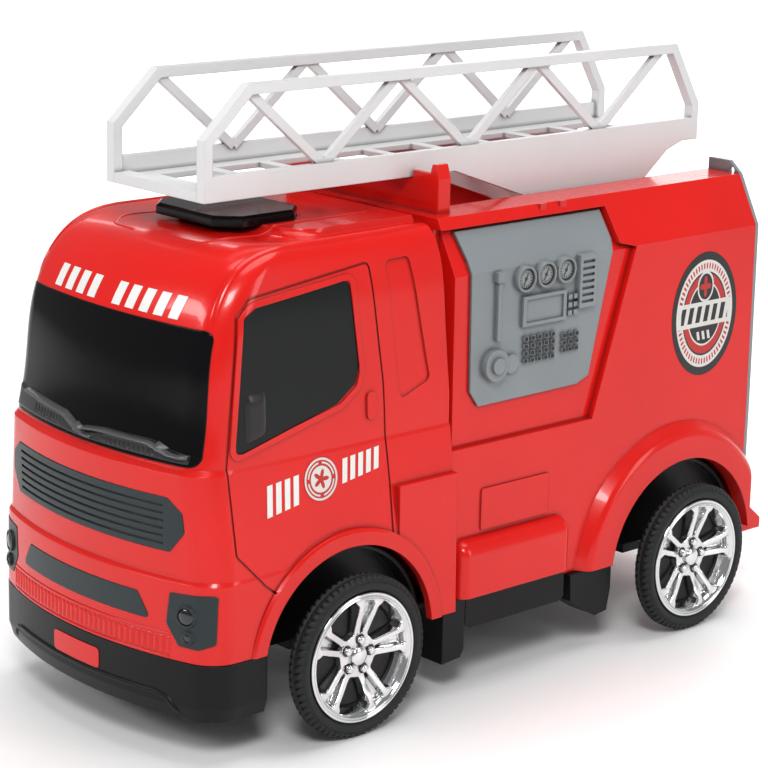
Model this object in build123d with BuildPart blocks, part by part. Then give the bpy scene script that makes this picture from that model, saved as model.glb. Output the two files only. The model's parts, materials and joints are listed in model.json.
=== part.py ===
from build123d import *
import math
import os

os.makedirs("parts", exist_ok=True)

# Overall layout: millimetres, +Z up, nose towards -Y, the truck's left side on +X.
# Heights are built from the body's own datum, which lies ground_z below the tyres' feet.
wheelbase = 210.0
front_overhang = 92.5
rear_overhang = 58.0
overall_length = front_overhang + wheelbase + rear_overhang
axle_offset = 6.5
body_y = -overall_length / 2 + front_overhang
tail_y = body_y + wheelbase
front_axle_y = body_y - axle_offset
rear_axle_y = tail_y - axle_offset
ground_z = 2.7
body_half_width = 76.0
shell_half_width = body_half_width - 6.0
side_reach = body_half_width + 14.0

# Fits
running_clearance = 0.06
seat_clearance = 0.10
body_seam = 0.40

# Wheels and axles
tyre_radius = 35.3
tyre_width = 9.4
rim_radius = 28.4
wheel_outer_x = body_half_width + 9.6
axle_radius = 2.0
axle_z = tyre_radius + ground_z
web_thickness = 1.6
axle_half_length = wheel_outer_x - tyre_width + web_thickness
wheel_plane_x = wheel_outer_x - tyre_width

# Body shells
wall = 2.4
body_bottom = 42.0
waist_z = 105.0
deck_z = 213.0
shoulder_z = 190.0
arch_radius = 46.5
arch_flare = 7.0
cab_back_y = body_y + 55.0
shell_front_y = cab_back_y + body_seam
shell_back_y = tail_y + 42.5
trough_half_width = 38.0
trough_floor_z = 171.0
trough_front_y = body_y + 69.0
bulkhead_y = body_y + 62.0

# Ladder
ladder_half_width = 33.0
ladder_front_y = body_y - 51.0
ladder_back_y = tail_y + 38.6
beam_bottom_z = 226.8
beam_top_z = 237.4
rail_top_z = 273.5
ladder_side = 3.0
rail_width = 5.0
rail_height = 4.5
truss_width = 4.0
pivot_y = tail_y - 25.5
pivot_z = 202.0
pivot_radius = 2.0

# Chassis
floor_z = 44.0
floor_thickness = 2.6
floor_top_z = floor_z + floor_thickness
floor_half_width = shell_half_width - wall - body_seam
tank_back_y = body_y + 126.4
bumper_bottom = 22.0
bumper_top = 47.0
screw_radius = 1.5
screw_head_radius = 3.0


def mirrored_loop(points):
    """Right half of an outline given from top to bottom, mirrored into a closed loop."""
    return list(points) + [(-x, z) for x, z in reversed(points)]


def plan_outline(height, half_width, nose_y, bow, corner, back_y):
    """Bow-fronted outline seen from above."""
    side_y = nose_y + bow
    with BuildSketch(Plane.XY.offset(height)) as plan:
        with BuildLine():
            ThreePointArc((-half_width, side_y), (0, nose_y), (half_width, side_y))
            Polyline((half_width, side_y), (half_width, back_y), (-half_width, back_y),
                     (-half_width, side_y))
        make_face()
        fillet(plan.vertices().sort_by(Axis.Y)[:2], radius=corner)
    return plan.sketch


def side_prism(points, x_from, x_to, round_radius=0.0):
    """Solid whose outline in the Y-Z plane is given, reaching from x_from to x_to."""
    with BuildPart() as prism:
        with BuildSketch(Plane.YZ.offset(x_from)) as outline:
            Polygon(*points, align=None)
            if round_radius > 0:
                fillet(outline.vertices(), radius=round_radius)
        extrude(amount=x_to - x_from)
    return prism.part


def front_prism(points, y_from, y_to, round_radius=0.0):
    """Solid whose outline in the X-Z plane is given, reaching from y_from to y_to."""
    plane = Plane(origin=(0, y_from, 0), x_dir=(1, 0, 0), z_dir=(0, -1, 0))
    with BuildPart() as prism:
        with BuildSketch(plane) as outline:
            Polygon(*points, align=None)
            if round_radius > 0:
                fillet(outline.vertices(), radius=round_radius)
        extrude(amount=y_from - y_to)
    return prism.part


def cab_form(inset):
    """Closed cab block, every face moved inwards by the inset."""
    n = body_y - front_overhang + inset
    w = body_half_width - inset
    c = 16.0 - inset
    back = cab_back_y - inset
    roof_z = deck_z + 1.0 - inset
    bottom = plan_outline(body_bottom, w, n, 15.0, c, back)
    lower = plan_outline(80.0, w - 0.9, n + 0.5, 15.0, c, back)
    step = plan_outline(81.5, w - 1.2, n + 2.2, 14.5, c, back)
    chest = plan_outline(124.5, w - 6.8, n + 1.6, 12.5, c + 2.0, back)
    ledge = plan_outline(127.8, w - 7.6, n + 5.0, 11.5, c + 3.0, back - 1.0)
    foot = plan_outline(121.0, w - 7.1, n + 3.6, 12.0, c + 3.0, back - 0.6)
    sill = plan_outline(127.0, w - 7.2, n + 4.2, 11.5, c + 3.0, back - 0.6)
    middle = plan_outline(155.0, w - 8.3, n + 10.2, 9.2, c + 1.0, back - 1.5)
    brow = plan_outline(182.0, w - 9.6, n + 16.0, 7.5, c, back - 3.0)
    crown = plan_outline(196.0 - inset * 0.3, w - 11.0, n + 23.0, 7.5, c, back - 4.0)
    edge = plan_outline(205.5 - inset * 0.6, w - 13.8, n + 32.0, 7.5, c, back - 5.0)
    rim = plan_outline(211.0 - inset * 0.9, w - 19.0, n + 46.0, 7.0, c, back - 5.5)
    roof = plan_outline(roof_z, w - 28.0, n + 74.0, 6.0, c, back - 6.0)
    with BuildPart() as form:
        loft(sections=[bottom, lower, step, chest, ledge], ruled=True)
        loft(sections=[foot, sill, middle, brow, crown, edge, rim, roof])
    return form.part


def shell_section(inset):
    """Cross-section of the rear body as seen from the front."""
    w = shell_half_width - inset
    return mirrored_loop([
        (w - 12.5, deck_z - inset),
        (w - 0.8, shoulder_z - inset * 0.5),
        (w, waist_z),
        (w, body_bottom),
    ])


def shell_form(inset):
    """Closed rear body block, every face moved inwards by the inset."""
    return front_prism(shell_section(inset), shell_front_y + inset, shell_back_y - inset)


def cab_skin(outline, outer, inner):
    """Slice of the cab wall between two depths, inside an outline."""
    with BuildPart() as skin:
        add(cab_form(outer))
        add(cab_form(inner), mode=Mode.SUBTRACT)
        add(outline, mode=Mode.INTERSECT)
    return skin.part


def shell_skin(outline, outer, inner):
    """Slice of the rear body wall between two depths, inside an outline."""
    with BuildPart() as skin:
        add(shell_form(outer))
        add(shell_form(inner), mode=Mode.SUBTRACT)
        add(outline, mode=Mode.INTERSECT)
    return skin.part


def both_sides(solid):
    """A solid together with its mirror image across the centre plane."""
    return [solid, mirror(solid, about=Plane.YZ, mode=Mode.PRIVATE)]


def cab_points(points):
    """Outline points measured from the front axle."""
    return [(body_y + y, z) for y, z in points]


def wheel_arch(axle_y, radius, x_from, x_to, height=axle_z):
    """Round bar across the body, centred on an axle."""
    plane = Plane(origin=(x_from, axle_y, height), x_dir=(0, 1, 0), z_dir=(1, 0, 0))
    with BuildPart() as bar:
        with BuildSketch(plane):
            Circle(radius)
        extrude(amount=x_to - x_from)
    return bar.part


def block(x_from, x_to, y_from, y_to, z_from, z_to):
    """Box given by its two corners."""
    with BuildPart() as box:
        with Locations(((x_from + x_to) / 2, (y_from + y_to) / 2, (z_from + z_to) / 2)):
            Box(x_to - x_from, y_to - y_from, z_to - z_from)
    return box.part


def post(x, y, radius, z_from, z_to):
    """Upright round post."""
    with BuildPart() as pillar:
        with Locations((x, y, (z_from + z_to) / 2)):
            Cylinder(radius, z_to - z_from)
    return pillar.part


def bar_between(start, end, width):
    """Flat bar joining two points of a sketch."""
    (y0, z0), (y1, z1) = start, end
    length = math.hypot(y1 - y0, z1 - z0)
    turn = math.degrees(math.atan2(z1 - z0, y1 - y0))
    with Locations(((y0 + y1) / 2, (z0 + z1) / 2)):
        Rectangle(length, width, rotation=turn)


# Outlines of the set-in pieces
window_low, window_high = 127.8, 182.0
nose_y = body_y - front_overhang
screen_points = mirrored_loop([(body_half_width - 14.3, window_high), (body_half_width - 12.5, window_low)])
upper_grille_points = mirrored_loop([
    (body_half_width - 24.0, 114.5), (body_half_width - 17.0, 109.0),
    (body_half_width - 16.0, 101.0), (body_half_width - 23.0, 92.0)])
lower_grille_points = mirrored_loop([(38.0, 72.8), (45.0, 62.3)])
lamp_points = [
    (body_half_width - inwards, z) for inwards, z in (
        (21.5, 75.5), (3.0, 76.5), (3.0, 56.0), (8.0, 53.5), (17.0, 53.8), (20.2, 58.5), (23.0, 62.5))]
lens_spots = ((body_half_width - 13.2, 66.8, 4.6), (body_half_width - 12.4, 58.0, 2.9))
badge_points = mirrored_loop([(16.0, 42.0), (16.0, 33.0)])
side_window_points = cab_points([
    (-63.5, 131.0), (-57.0, 186.0), (-50.0, 190.0), (-1.5, 195.5), (3.2, 158.5),
    (0.9, 151.6), (-9.0, 144.7)])
door_points = cab_points([
    (-66.0, 91.0), (-67.5, 127.0), (-60.5, 187.0), (-53.5, 194.5), (10.5, 201.5), (17.0, 151.0),
    (19.0, 105.0), (19.0, 60.0), (-30.0, 60.0), (-52.0, 76.0)])
pane_points = cab_points([(19.0, 200.5), (33.0, 201.0), (43.5, 147.0), (26.0, 140.5)])
handle_points = cab_points([(7.0, 147.0), (12.0, 147.0), (12.0, 135.0), (7.0, 135.0)])
panel_points = cab_points([
    (64.5, 206.5), (67.0, 194.0), (67.5, 137.0), (72.5, 130.0), (134.0, 130.5), (141.5, 133.5),
    (156.0, 194.0), (154.5, 206.5)])
bay_points = cab_points([
    (50.0, 208.0), (156.5, 208.0), (159.0, 192.0), (169.0, 189.5), (143.5, 113.0), (50.0, 113.0)])
hatch_points = cab_points([(74.0, 74.0), (74.0, 93.0), (116.0, 93.0), (116.0, 74.0)])
skin_depth = 1.4


# Cab shell
screen_prism = front_prism(screen_points, nose_y - 5.0, nose_y + 45.0, 4.0)
upper_grille_prism = front_prism(upper_grille_points, nose_y - 5.0, nose_y + 25.0, 1.5)
lower_grille_prism = front_prism(lower_grille_points, nose_y - 5.0, nose_y + 20.0, 1.5)
lamp_prism = front_prism(lamp_points, nose_y - 5.0, nose_y + 35.0, 1.2)
window_prism = side_prism(side_window_points, 40.0, body_half_width + 5.0, 3.5)
pad_y, pad_half_x, pad_half_y, pad_corner = body_y - 13.0, 28.0, 23.0, 9.0
pad_bottom_z, pad_top_z = deck_z + 0.6, deck_z + 5.2


def pad_outline(half_x, half_y):
    """Square with its corners cut off."""
    k = pad_corner
    return [
        (half_x - k, -half_y), (half_x, k - half_y), (half_x, half_y - k), (half_x - k, half_y),
        (k - half_x, half_y), (-half_x, half_y - k), (-half_x, k - half_y), (k - half_x, -half_y)]


def ring_prism(points, width, x_from, x_to, round_radius):
    """Band of the given width just inside an outline in the Y-Z plane."""
    with BuildPart() as band:
        with BuildSketch(Plane.YZ.offset(x_from)) as outline:
            Polygon(*points, align=None)
            fillet(outline.vertices(), radius=round_radius)
            offset(amount=-width, mode=Mode.SUBTRACT)
        extrude(amount=x_to - x_from)
    return band.part


door_groove = cab_skin(ring_prism(door_points, 1.0, 50.0, side_reach, 3.0), -1.0, 0.7)
pane_recess = cab_skin(side_prism(pane_points, 50.0, side_reach, 3.0), -1.0, 0.9)
handle_bump = cab_skin(side_prism(handle_points, 50.0, side_reach, 2.4), -1.0, 0.5)
window_trim = cab_skin(
    ring_prism([(y + 2.6 * math.copysign(1, y - body_y + 30), z + 2.6 * math.copysign(1, z - 160))
                for y, z in side_window_points], 2.6, 50.0, side_reach, 4.5), -0.8, 0.5)
waist_block = block(body_half_width - 8.0, body_half_width - 0.9, body_y + 21.5, cab_back_y, 80.0, waist_z)
cab_posts = [(sx * 36.0, body_y + dy) for sx in (-1, 1) for dy in (-62.0, 36.0)]

cab_outer = cab_form(0)
cab_inner = cab_form(wall)
cab_face = cab_form(-0.2)
cab_seat = cab_form(skin_depth)


def cab_insert(outline):
    """Piece let into the cab wall: its outer face stands a little proud of the wall."""
    with BuildPart() as insert:
        add(cab_face)
        add(cab_seat, mode=Mode.SUBTRACT)
        add(outline, mode=Mode.INTERSECT)
    return insert.part


def cut_pocket(outline):
    """Seat for a let-in piece."""
    with BuildPart() as pocket:
        add(outline)
        add(cab_seat, mode=Mode.SUBTRACT)
    return pocket.part


def flare_ring(axle_y, axle_height, inner, outer, x_from, x_to, edge):
    """Raised band around a wheel arch, above the lower edge of the body."""
    with BuildPart() as ring:
        add(wheel_arch(axle_y, outer, x_from, x_to, axle_height))
        chamfer(ring.edges().filter_by(GeomType.CIRCLE).group_by(Axis.X)[-1], length=edge)
        add(wheel_arch(axle_y, inner, x_from - 1, x_to + 1, axle_height), mode=Mode.SUBTRACT)
        add(block(0, 99, axle_y - 120, axle_y + 120, axle_height - 120, body_bottom), mode=Mode.SUBTRACT)
    return ring.part


def wheel_gap(axle_y, radius, height=axle_z):
    """Round openings for the wheels of one axle, through both side walls."""
    return both_sides(wheel_arch(axle_y, radius, body_half_width - 19.0, side_reach, height))


with BuildPart() as cab_shell:
    add(cab_outer)
    add(both_sides(waist_block))
    add(both_sides(flare_ring(front_axle_y, axle_z, arch_radius - 1, arch_radius + arch_flare,
                              body_half_width - 10.0, body_half_width + 1.2, 1.2)))
    add(both_sides(handle_bump))
    add(both_sides(window_trim))
    add(cab_inner, mode=Mode.SUBTRACT)
    with BuildPart(mode=Mode.PRIVATE) as cab_pillars:
        for x, y in cab_posts:
            add(post(x, y, 4.0, floor_top_z, deck_z))
        add(cab_form(1.0), mode=Mode.INTERSECT)
    add(cab_pillars.part)
    for x, y in cab_posts:
        add(post(x, y, screw_radius, floor_z, floor_z + 20.0), mode=Mode.SUBTRACT)
    add(block(2.5 - body_half_width, body_half_width - 2.5, nose_y + 20, cab_back_y + 1, 0, floor_top_z),
        mode=Mode.SUBTRACT)
    add(wheel_gap(front_axle_y, arch_radius), mode=Mode.SUBTRACT)
    add(block(-side_reach, side_reach, nose_y - 5, body_y - 40, 0, bumper_top + 0.3), mode=Mode.SUBTRACT)
    add(block(-side_reach, side_reach, cab_back_y, cab_back_y + 5, 0, deck_z + 9), mode=Mode.SUBTRACT)
    for groove in (door_groove, pane_recess):
        add(both_sides(groove), mode=Mode.SUBTRACT)
    for outline in (screen_prism, upper_grille_prism, lower_grille_prism):
        add(cut_pocket(outline), mode=Mode.SUBTRACT)
    for outline in (window_prism, lamp_prism):
        add(both_sides(cut_pocket(outline)), mode=Mode.SUBTRACT)
    with BuildSketch(Plane.XY.offset(pad_bottom_z)):
        with Locations((0, pad_y)):
            Polygon(*pad_outline(pad_half_x, pad_half_y), align=None)
    extrude(amount=10.0, mode=Mode.SUBTRACT)


# Pieces let into the cab
wiper_lines = (
    ((-50.0, 137.6), (-14.0, 135.7), (-2.7, 131.8), (7.5, 130.5)),
    ((0.5, 132.9), (15.0, 134.7), (40.5, 134.8), (51.5, 132.1), (59.6, 131.6)))


def wiper_bar(points):
    """Wiper arm and blade moulded on the windscreen."""
    with BuildPart() as bar:
        add(cab_form(-1.2))
        add(cab_form(0.2), mode=Mode.SUBTRACT)
        with BuildPart(mode=Mode.PRIVATE) as outline:
            with BuildSketch(Plane(origin=(0, nose_y - 5.0, 0), x_dir=(1, 0, 0), z_dir=(0, -1, 0))):
                for (x0, z0), (x1, z1) in zip(points[:-1], points[1:]):
                    bar_between((x0, z0), (x1, z1), 1.8)
            extrude(amount=-40.0)
        add(outline.part, mode=Mode.INTERSECT)
    return bar.part


with BuildPart() as windscreen:
    add(cab_insert(screen_prism))
    for points in wiper_lines:
        add(wiper_bar(points))

with BuildPart() as left_side_window:
    add(cab_insert(window_prism))

with BuildPart() as right_side_window:
    add(mirror(left_side_window.part, about=Plane.YZ, mode=Mode.PRIVATE))

with BuildPart() as upper_grille:
    add(cab_insert(upper_grille_prism))
    for row in range(6):
        slot_z = 94.5 + row * 3.2
        slot_points = mirrored_loop([(50.0, slot_z + 1.1), (50.0, slot_z)])
        slot = front_prism(slot_points, nose_y - 5.0, nose_y + 25.0)
        add(cab_skin(slot, -1.0, 0.6), mode=Mode.SUBTRACT)

with BuildPart() as lower_grille:
    add(cab_insert(lower_grille_prism))

with BuildPart() as left_headlight:
    add(cab_insert(lamp_prism))
    for x, z, r in lens_spots:
        with BuildPart(mode=Mode.PRIVATE) as lens:
            with BuildSketch(Plane(origin=(x, nose_y - 5.0, z), x_dir=(1, 0, 0), z_dir=(0, 1, 0))):
                Circle(r)
                Circle(r - 0.9, mode=Mode.SUBTRACT)
            extrude(amount=40.0)
            add(cab_form(-1.0), mode=Mode.INTERSECT)
            add(cab_form(0.2), mode=Mode.SUBTRACT)
        add(lens.part)

with BuildPart() as right_headlight:
    add(mirror(left_headlight.part, about=Plane.YZ, mode=Mode.PRIVATE))

with BuildPart() as roof_pad:
    with BuildSketch(Plane.XY.offset(pad_bottom_z)):
        with Locations((0, pad_y)):
            Polygon(*pad_outline(pad_half_x - seat_clearance, pad_half_y - seat_clearance), align=None)
    extrude(amount=pad_top_z - pad_bottom_z)
    chamfer(roof_pad.faces().sort_by(Axis.Z)[-1].edges(), length=1.2)

# Rear body shell
bay_depth = 3.0
with BuildPart() as bay_cut:
    with BuildSketch(Plane.YZ.offset(shell_half_width - bay_depth - 12.0)):
        Polygon(*bay_points, align=None)
    extrude(amount=30.0)
    add(shell_form(bay_depth), mode=Mode.SUBTRACT)
with BuildPart() as bay_backing:
    with BuildSketch(Plane.YZ.offset(30.0)):
        Polygon(*bay_points, align=None)
        offset(amount=wall)
    extrude(amount=60.0)
    add(shell_form(bay_depth + wall), mode=Mode.SUBTRACT)

rear_arch_y = rear_axle_y
rear_arch_radius = 48.5
rear_arch_z = axle_z - 2.0
step_top_z, step_bottom_z = 53.0, 37.0
step_back_y = tail_y + rear_overhang
shell_posts = [(sx * 50.0, shell_front_y + dy) for sx in (-1, 1) for dy in (8.0, 84.0)]


def rear_tank():
    """Rounded step box on the left flank, between the axles."""
    with BuildPart() as tank:
        add(block(shell_half_width - wall, body_half_width + 1.5, cab_back_y + 2.5, tank_back_y - 0.4,
                  floor_top_z, 72.0))
        fillet(tank.edges().filter_by(Axis.Y).group_by(Axis.X)[-1].sort_by(Axis.Z)[-1], radius=7.0)
        fillet(tank.edges().filter_by(Axis.Z).group_by(Axis.X)[-1], radius=5.0)
    return tank.part


def rear_flare():
    """Swollen fender around the rear wheel arch."""
    centre = (shell_half_width - 4.0, rear_arch_y - 2.0, rear_arch_z)
    plane = Plane(origin=centre, x_dir=(0, 1, 0), z_dir=(1, 0, 0))
    with BuildPart() as fender:
        with BuildSketch(plane):
            Circle(rear_arch_radius + 21.0)
        extrude(amount=body_half_width - shell_half_width + 4.0, taper=40)
        fillet(fender.edges().filter_by(GeomType.CIRCLE).group_by(Axis.X)[-1], radius=5.0)
        add(block(0, 99, tail_y - 130, tail_y + 130, -130, body_bottom), mode=Mode.SUBTRACT)
        add(block(0, 99, shell_back_y, tail_y + 130, -130, 130), mode=Mode.SUBTRACT)
    return fender.part


def horn():
    """Pointed guide at the end of the ladder rest."""
    plane = Plane(origin=(0, bulkhead_y + 7.0, 0), x_dir=(1, 0, 0), z_dir=(0, -1, 0))
    with BuildPart() as guide:
        with BuildSketch(plane):
            Polygon((44.5, deck_z - 2), (50.5, deck_z - 2), (50.5, 228.0), (48.5, 234.0), (46.5, 234.0),
                    (44.5, 228.0), align=None)
        extrude(amount=7.0)
    return guide.part


with BuildPart() as rear_shell:
    add(shell_form(0))
    with BuildPart(mode=Mode.PRIVATE) as shell_core:
        add(shell_form(wall))
        add(both_sides(bay_backing.part), mode=Mode.SUBTRACT)
        add(block(-trough_half_width - wall, trough_half_width + wall, trough_front_y - wall, 400,
                  trough_floor_z - wall, 300), mode=Mode.SUBTRACT)
    add(shell_core.part, mode=Mode.SUBTRACT)
    add(both_sides(bay_cut.part), mode=Mode.SUBTRACT)
    add(block(-trough_half_width, trough_half_width, trough_front_y, 400, trough_floor_z, 300),
        mode=Mode.SUBTRACT)
    add(both_sides(rear_flare()))
    add(both_sides(rear_tank()))
    add(shell_core.part, mode=Mode.SUBTRACT)
    add(both_sides(horn()))
    add(block(-45.0, 45.0, bulkhead_y, bulkhead_y + wall, deck_z - 3, 230.0))
    add(block(-ladder_half_width - 1.5, ladder_half_width + 1.5, bulkhead_y - 1, bulkhead_y + 9,
              beam_bottom_z - 0.2, 240.0), mode=Mode.SUBTRACT)
    with BuildSketch(Plane.YZ.offset(-shell_half_width)):
        Polygon((shell_back_y - 1, step_bottom_z), (step_back_y, step_bottom_z),
                (step_back_y, step_bottom_z + 5.0), (shell_back_y + 2.2, step_top_z),
                (shell_back_y - 1, step_top_z), align=None)
    extrude(amount=2 * shell_half_width)
    for x, y in shell_posts:
        add(post(x, y, 4.0, floor_top_z, deck_z - 1.5))
        add(post(x, y, screw_radius, floor_z, floor_z + 20.0), mode=Mode.SUBTRACT)
    add(block(-floor_half_width - body_seam, floor_half_width + body_seam, tank_back_y - 1,
              shell_back_y - wall, 0, floor_top_z), mode=Mode.SUBTRACT)
    add(block(-90, 90, shell_front_y - 1, tank_back_y, 0, floor_top_z), mode=Mode.SUBTRACT)
    for side in (-1, 1):
        add(block(*sorted((side * trough_half_width, side * (trough_half_width + 8.0))),
                  pivot_y - 5.0, pivot_y + 5.0, pivot_z - 5.0, pivot_z + 5.0))
    add(wheel_arch(pivot_y, pivot_radius, -trough_half_width - 6.0, trough_half_width + 6.0, pivot_z),
        mode=Mode.SUBTRACT)
    add(wheel_gap(rear_arch_y, rear_arch_radius, rear_arch_z), mode=Mode.SUBTRACT)
    for y in (118.0, 130.5):
        add(both_sides(block(54.0, 59.0, body_y + y - 2.0, body_y + y + 2.0, 208.2, deck_z)))
    add(both_sides(shell_skin(side_prism(hatch_points, 50.0, side_reach, 1.2), -0.8, 0.4)))

# Grey control panels on the flanks
panel_prism = side_prism(panel_points, 30.0, side_reach)
panel_face_x = shell_half_width - bay_depth + 1.2
with BuildPart() as left_control_panel:
    add(shell_skin(panel_prism, bay_depth - 1.4, bay_depth))
    for y, z in ((98.0, 183.5), (110.5, 184.0), (123.0, 184.5)):
        add(wheel_arch(body_y + y, 5.8, panel_face_x - 1, panel_face_x + 2.2, z))
        add(wheel_arch(body_y + y, 4.8, panel_face_x + 1.2, panel_face_x + 3, z), mode=Mode.SUBTRACT)
    for y, z, r, rise in ((80.5, 147.5, 7.0, 3.2), (80.5, 147.5, 3.6, 4.6), (91.0, 146.5, 4.2, 1.6)):
        add(wheel_arch(body_y + y, r, panel_face_x - 1, panel_face_x + rise, z))
    add(block(panel_face_x - 1, panel_face_x + 1.5, body_y + 97, body_y + 124, 162.0, 175.5))
    add(block(panel_face_x + 0.6, panel_face_x + 2, body_y + 99, body_y + 122, 163.6, 173.9),
        mode=Mode.SUBTRACT)
    add(block(panel_face_x - 1, panel_face_x + 2.2, body_y + 131.5, body_y + 142, 166.0, 190.0))
    for row in range(7):
        z = 168.2 + row * 3.0
        add(block(panel_face_x + 1.2, panel_face_x + 3, body_y + 133, body_y + 140.5, z, z + 1.3),
            mode=Mode.SUBTRACT)
    for row in range(4):
        for column in range(5):
            y, z = body_y + 98.5 + column * 4.2, 145.5 + row * 3.3
            add(block(panel_face_x - 1, panel_face_x + 1.2, y, y + 2.6, z, z + 2.0))
    for row in range(3):
        for column in range(3):
            y, z = body_y + 122.5 + column * 4.0, 147.0 + row * 3.3
            add(block(panel_face_x - 1, panel_face_x + 1.2, y, y + 2.4, z, z + 2.0))
    for y in (126.5, 130.0):
        for row in range(3):
            z = 163.5 + row * 3.6
            add(block(panel_face_x - 1, panel_face_x + 1.4, body_y + y - 1.2, body_y + y + 1.2, z, z + 2.2))
    add(block(panel_face_x - 1, panel_face_x + 1.8, body_y + 81.2, body_y + 83.2, 158.0, 188.0))
    add(block(panel_face_x - 1, panel_face_x + 2.4, body_y + 80.2, body_y + 84.2, 184.0, 188.5))

with BuildPart() as right_control_panel:
    add(mirror(left_control_panel.part, about=Plane.YZ, mode=Mode.PRIVATE))

# Grey rear panel
rear_panel_thickness = 2.0
with BuildPart() as rear_panel:
    outer_face = (0, shell_back_y + rear_panel_thickness, 0)
    with BuildSketch(Plane(origin=outer_face, x_dir=(1, 0, 0), z_dir=(0, -1, 0))):
        Polygon(*mirrored_loop([
            (shell_half_width - 19.0, deck_z + 5.5), (shell_half_width - 12.5, deck_z),
            (shell_half_width - 0.8, shoulder_z), (shell_half_width, waist_z),
            (shell_half_width, step_top_z + 0.2)]), align=None)
    extrude(amount=rear_panel_thickness)
    add(block(-trough_half_width, trough_half_width, shell_back_y - 9, shell_back_y + 9,
              trough_floor_z, 240), mode=Mode.SUBTRACT)
    add(block(-46.0, 46.0, shell_back_y + 1.4, shell_back_y + 9, 66.0, 158.0), mode=Mode.SUBTRACT)
    for side in (-1, 1):
        with Locations((side * (shell_half_width - 17.5), shell_back_y, deck_z + 1.0)):
            Cylinder(1.6, 12.0, rotation=(90, 0, 0), mode=Mode.SUBTRACT)

# Chassis
bumper_back_y = body_y - 51.0


def bumper_form(inset):
    """Plan of the bumper as a solid block."""
    n = nose_y + inset
    w = body_half_width - inset
    with BuildPart() as form:
        loft(sections=[plan_outline(bumper_bottom, w - 2.0, n + 2.0, 14.0, 14.0 - inset, bumper_back_y),
                       plan_outline(bumper_bottom + 6.0, w, n, 15.0, 16.0 - inset, bumper_back_y),
                       plan_outline(bumper_top, w, n, 15.0, 16.0 - inset, bumper_back_y)], ruled=True)
    return form.part


badge_prism = front_prism(badge_points, nose_y - 5.0, nose_y + 12.0, 2.0)
with BuildPart() as bumper_plate:
    add(bumper_form(-0.3))
    add(bumper_form(1.2), mode=Mode.SUBTRACT)
    add(badge_prism, mode=Mode.INTERSECT)

liner_radius = arch_radius - 1.6
rear_liner_radius = rear_arch_radius - 1.6
liner_inner_x = body_half_width - 14.0


def wheel_well(axle_y, radius, height, outer_x):
    """Black half-round housing behind a wheel opening."""
    with BuildPart() as well:
        add(wheel_arch(axle_y, radius, liner_inner_x - 1.6, outer_x, height))
        add(wheel_arch(axle_y, radius - 1.6, liner_inner_x, outer_x + 1, height), mode=Mode.SUBTRACT)
        add(block(0, side_reach, axle_y - 90, axle_y + 90, height - 90, floor_z), mode=Mode.SUBTRACT)
    return well.part


def bearing_block(side, axle_y):
    """Bearing that carries an axle under the floor."""
    x_from, x_to = sorted((side * 30.0, side * 44.0))
    return block(x_from, x_to, axle_y - 6.0, axle_y + 6.0, axle_z - 7.0, floor_z + 1.0)


def mudguard(points, depth):
    """Skirt block hanging under the body, hollow from the inner side."""
    outer_x = shell_half_width + 3.0
    middle_y = sum(y for y, z in points) / len(points)
    middle_z = sum(z for y, z in points) / len(points)
    hollow = [(middle_y + (y - middle_y) * 0.7, middle_z + (z - middle_z) * 0.7) for y, z in points]
    with BuildPart() as guard:
        add(side_prism(points, outer_x - depth, outer_x))
        add(block(floor_half_width, side_reach, tank_back_y, 400, body_bottom - 0.3, 60), mode=Mode.SUBTRACT)
        add(side_prism(hollow, outer_x - depth - 1, outer_x - 2.0), mode=Mode.SUBTRACT)
    return guard.part


front_guard_points = cab_points([(50.5, 46.0), (50.5, 17.5), (61.5, 18.5), (63.5, 22.0), (63.5, 46.0)])
tank_points = cab_points([
    (64.0, 46.0), (64.0, 32.5), (67.0, 31.0), (123.0, 31.0), (126.0, 33.0), (126.0, 46.0)])
rear_guard_points = [(tail_y - 80.0, 46.0), (tail_y - 79.0, 29.0), (tail_y - 62.0, 18.5),
                     (tail_y - 54.5, 19.5), (tail_y - 52.5, 30.0), (tail_y - 52.5, 46.0)]
flap_points = [(shell_back_y - 6.5, 46.0), (shell_back_y - 6.5, 22.0), (shell_back_y - 3.0, 22.0),
               (shell_back_y - 3.0, 46.0)]
chassis_screws_at = cab_posts + shell_posts

with BuildPart() as chassis:
    add(bumper_form(0))
    add(bumper_form(wall), mode=Mode.SUBTRACT)
    with BuildPart(mode=Mode.PRIVATE) as front_floor:
        add(bumper_form(1.0))
        add(block(-side_reach, side_reach, -400, 400, floor_z, floor_top_z), mode=Mode.INTERSECT)
    add(front_floor.part)
    add(block(-floor_half_width, floor_half_width, bumper_back_y - 1, shell_back_y - wall - body_seam,
              floor_z, floor_top_z))
    for axle_y, radius in ((front_axle_y, liner_radius), (rear_arch_y, rear_liner_radius)):
        add(both_sides(block(liner_inner_x - 1.6, side_reach, axle_y - radius + 1, axle_y + radius - 1,
                             30, 60)), mode=Mode.SUBTRACT)
    add(both_sides(wheel_well(front_axle_y, liner_radius, axle_z, body_half_width - wall - 3.0)))
    add(both_sides(wheel_well(rear_arch_y, rear_liner_radius, rear_arch_z, floor_half_width)))
    for guard_points, depth in ((front_guard_points, 16.0), (tank_points, 14.0), (rear_guard_points, 16.0),
                                (flap_points, 14.0)):
        add(both_sides(mudguard(guard_points, depth)))
    for axle_y in (front_axle_y, rear_axle_y):
        for side in (-1, 1):
            add(bearing_block(side, axle_y))
        add(wheel_arch(axle_y, axle_radius + running_clearance, -60, 60), mode=Mode.SUBTRACT)
    for x, y in chassis_screws_at:
        add(post(x, y, screw_radius + 0.2, floor_z - 1, floor_z + 9), mode=Mode.SUBTRACT)
    with BuildPart(mode=Mode.PRIVATE) as badge_seat:
        add(badge_prism)
        add(bumper_form(1.2), mode=Mode.SUBTRACT)
    add(badge_seat.part, mode=Mode.SUBTRACT)

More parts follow.
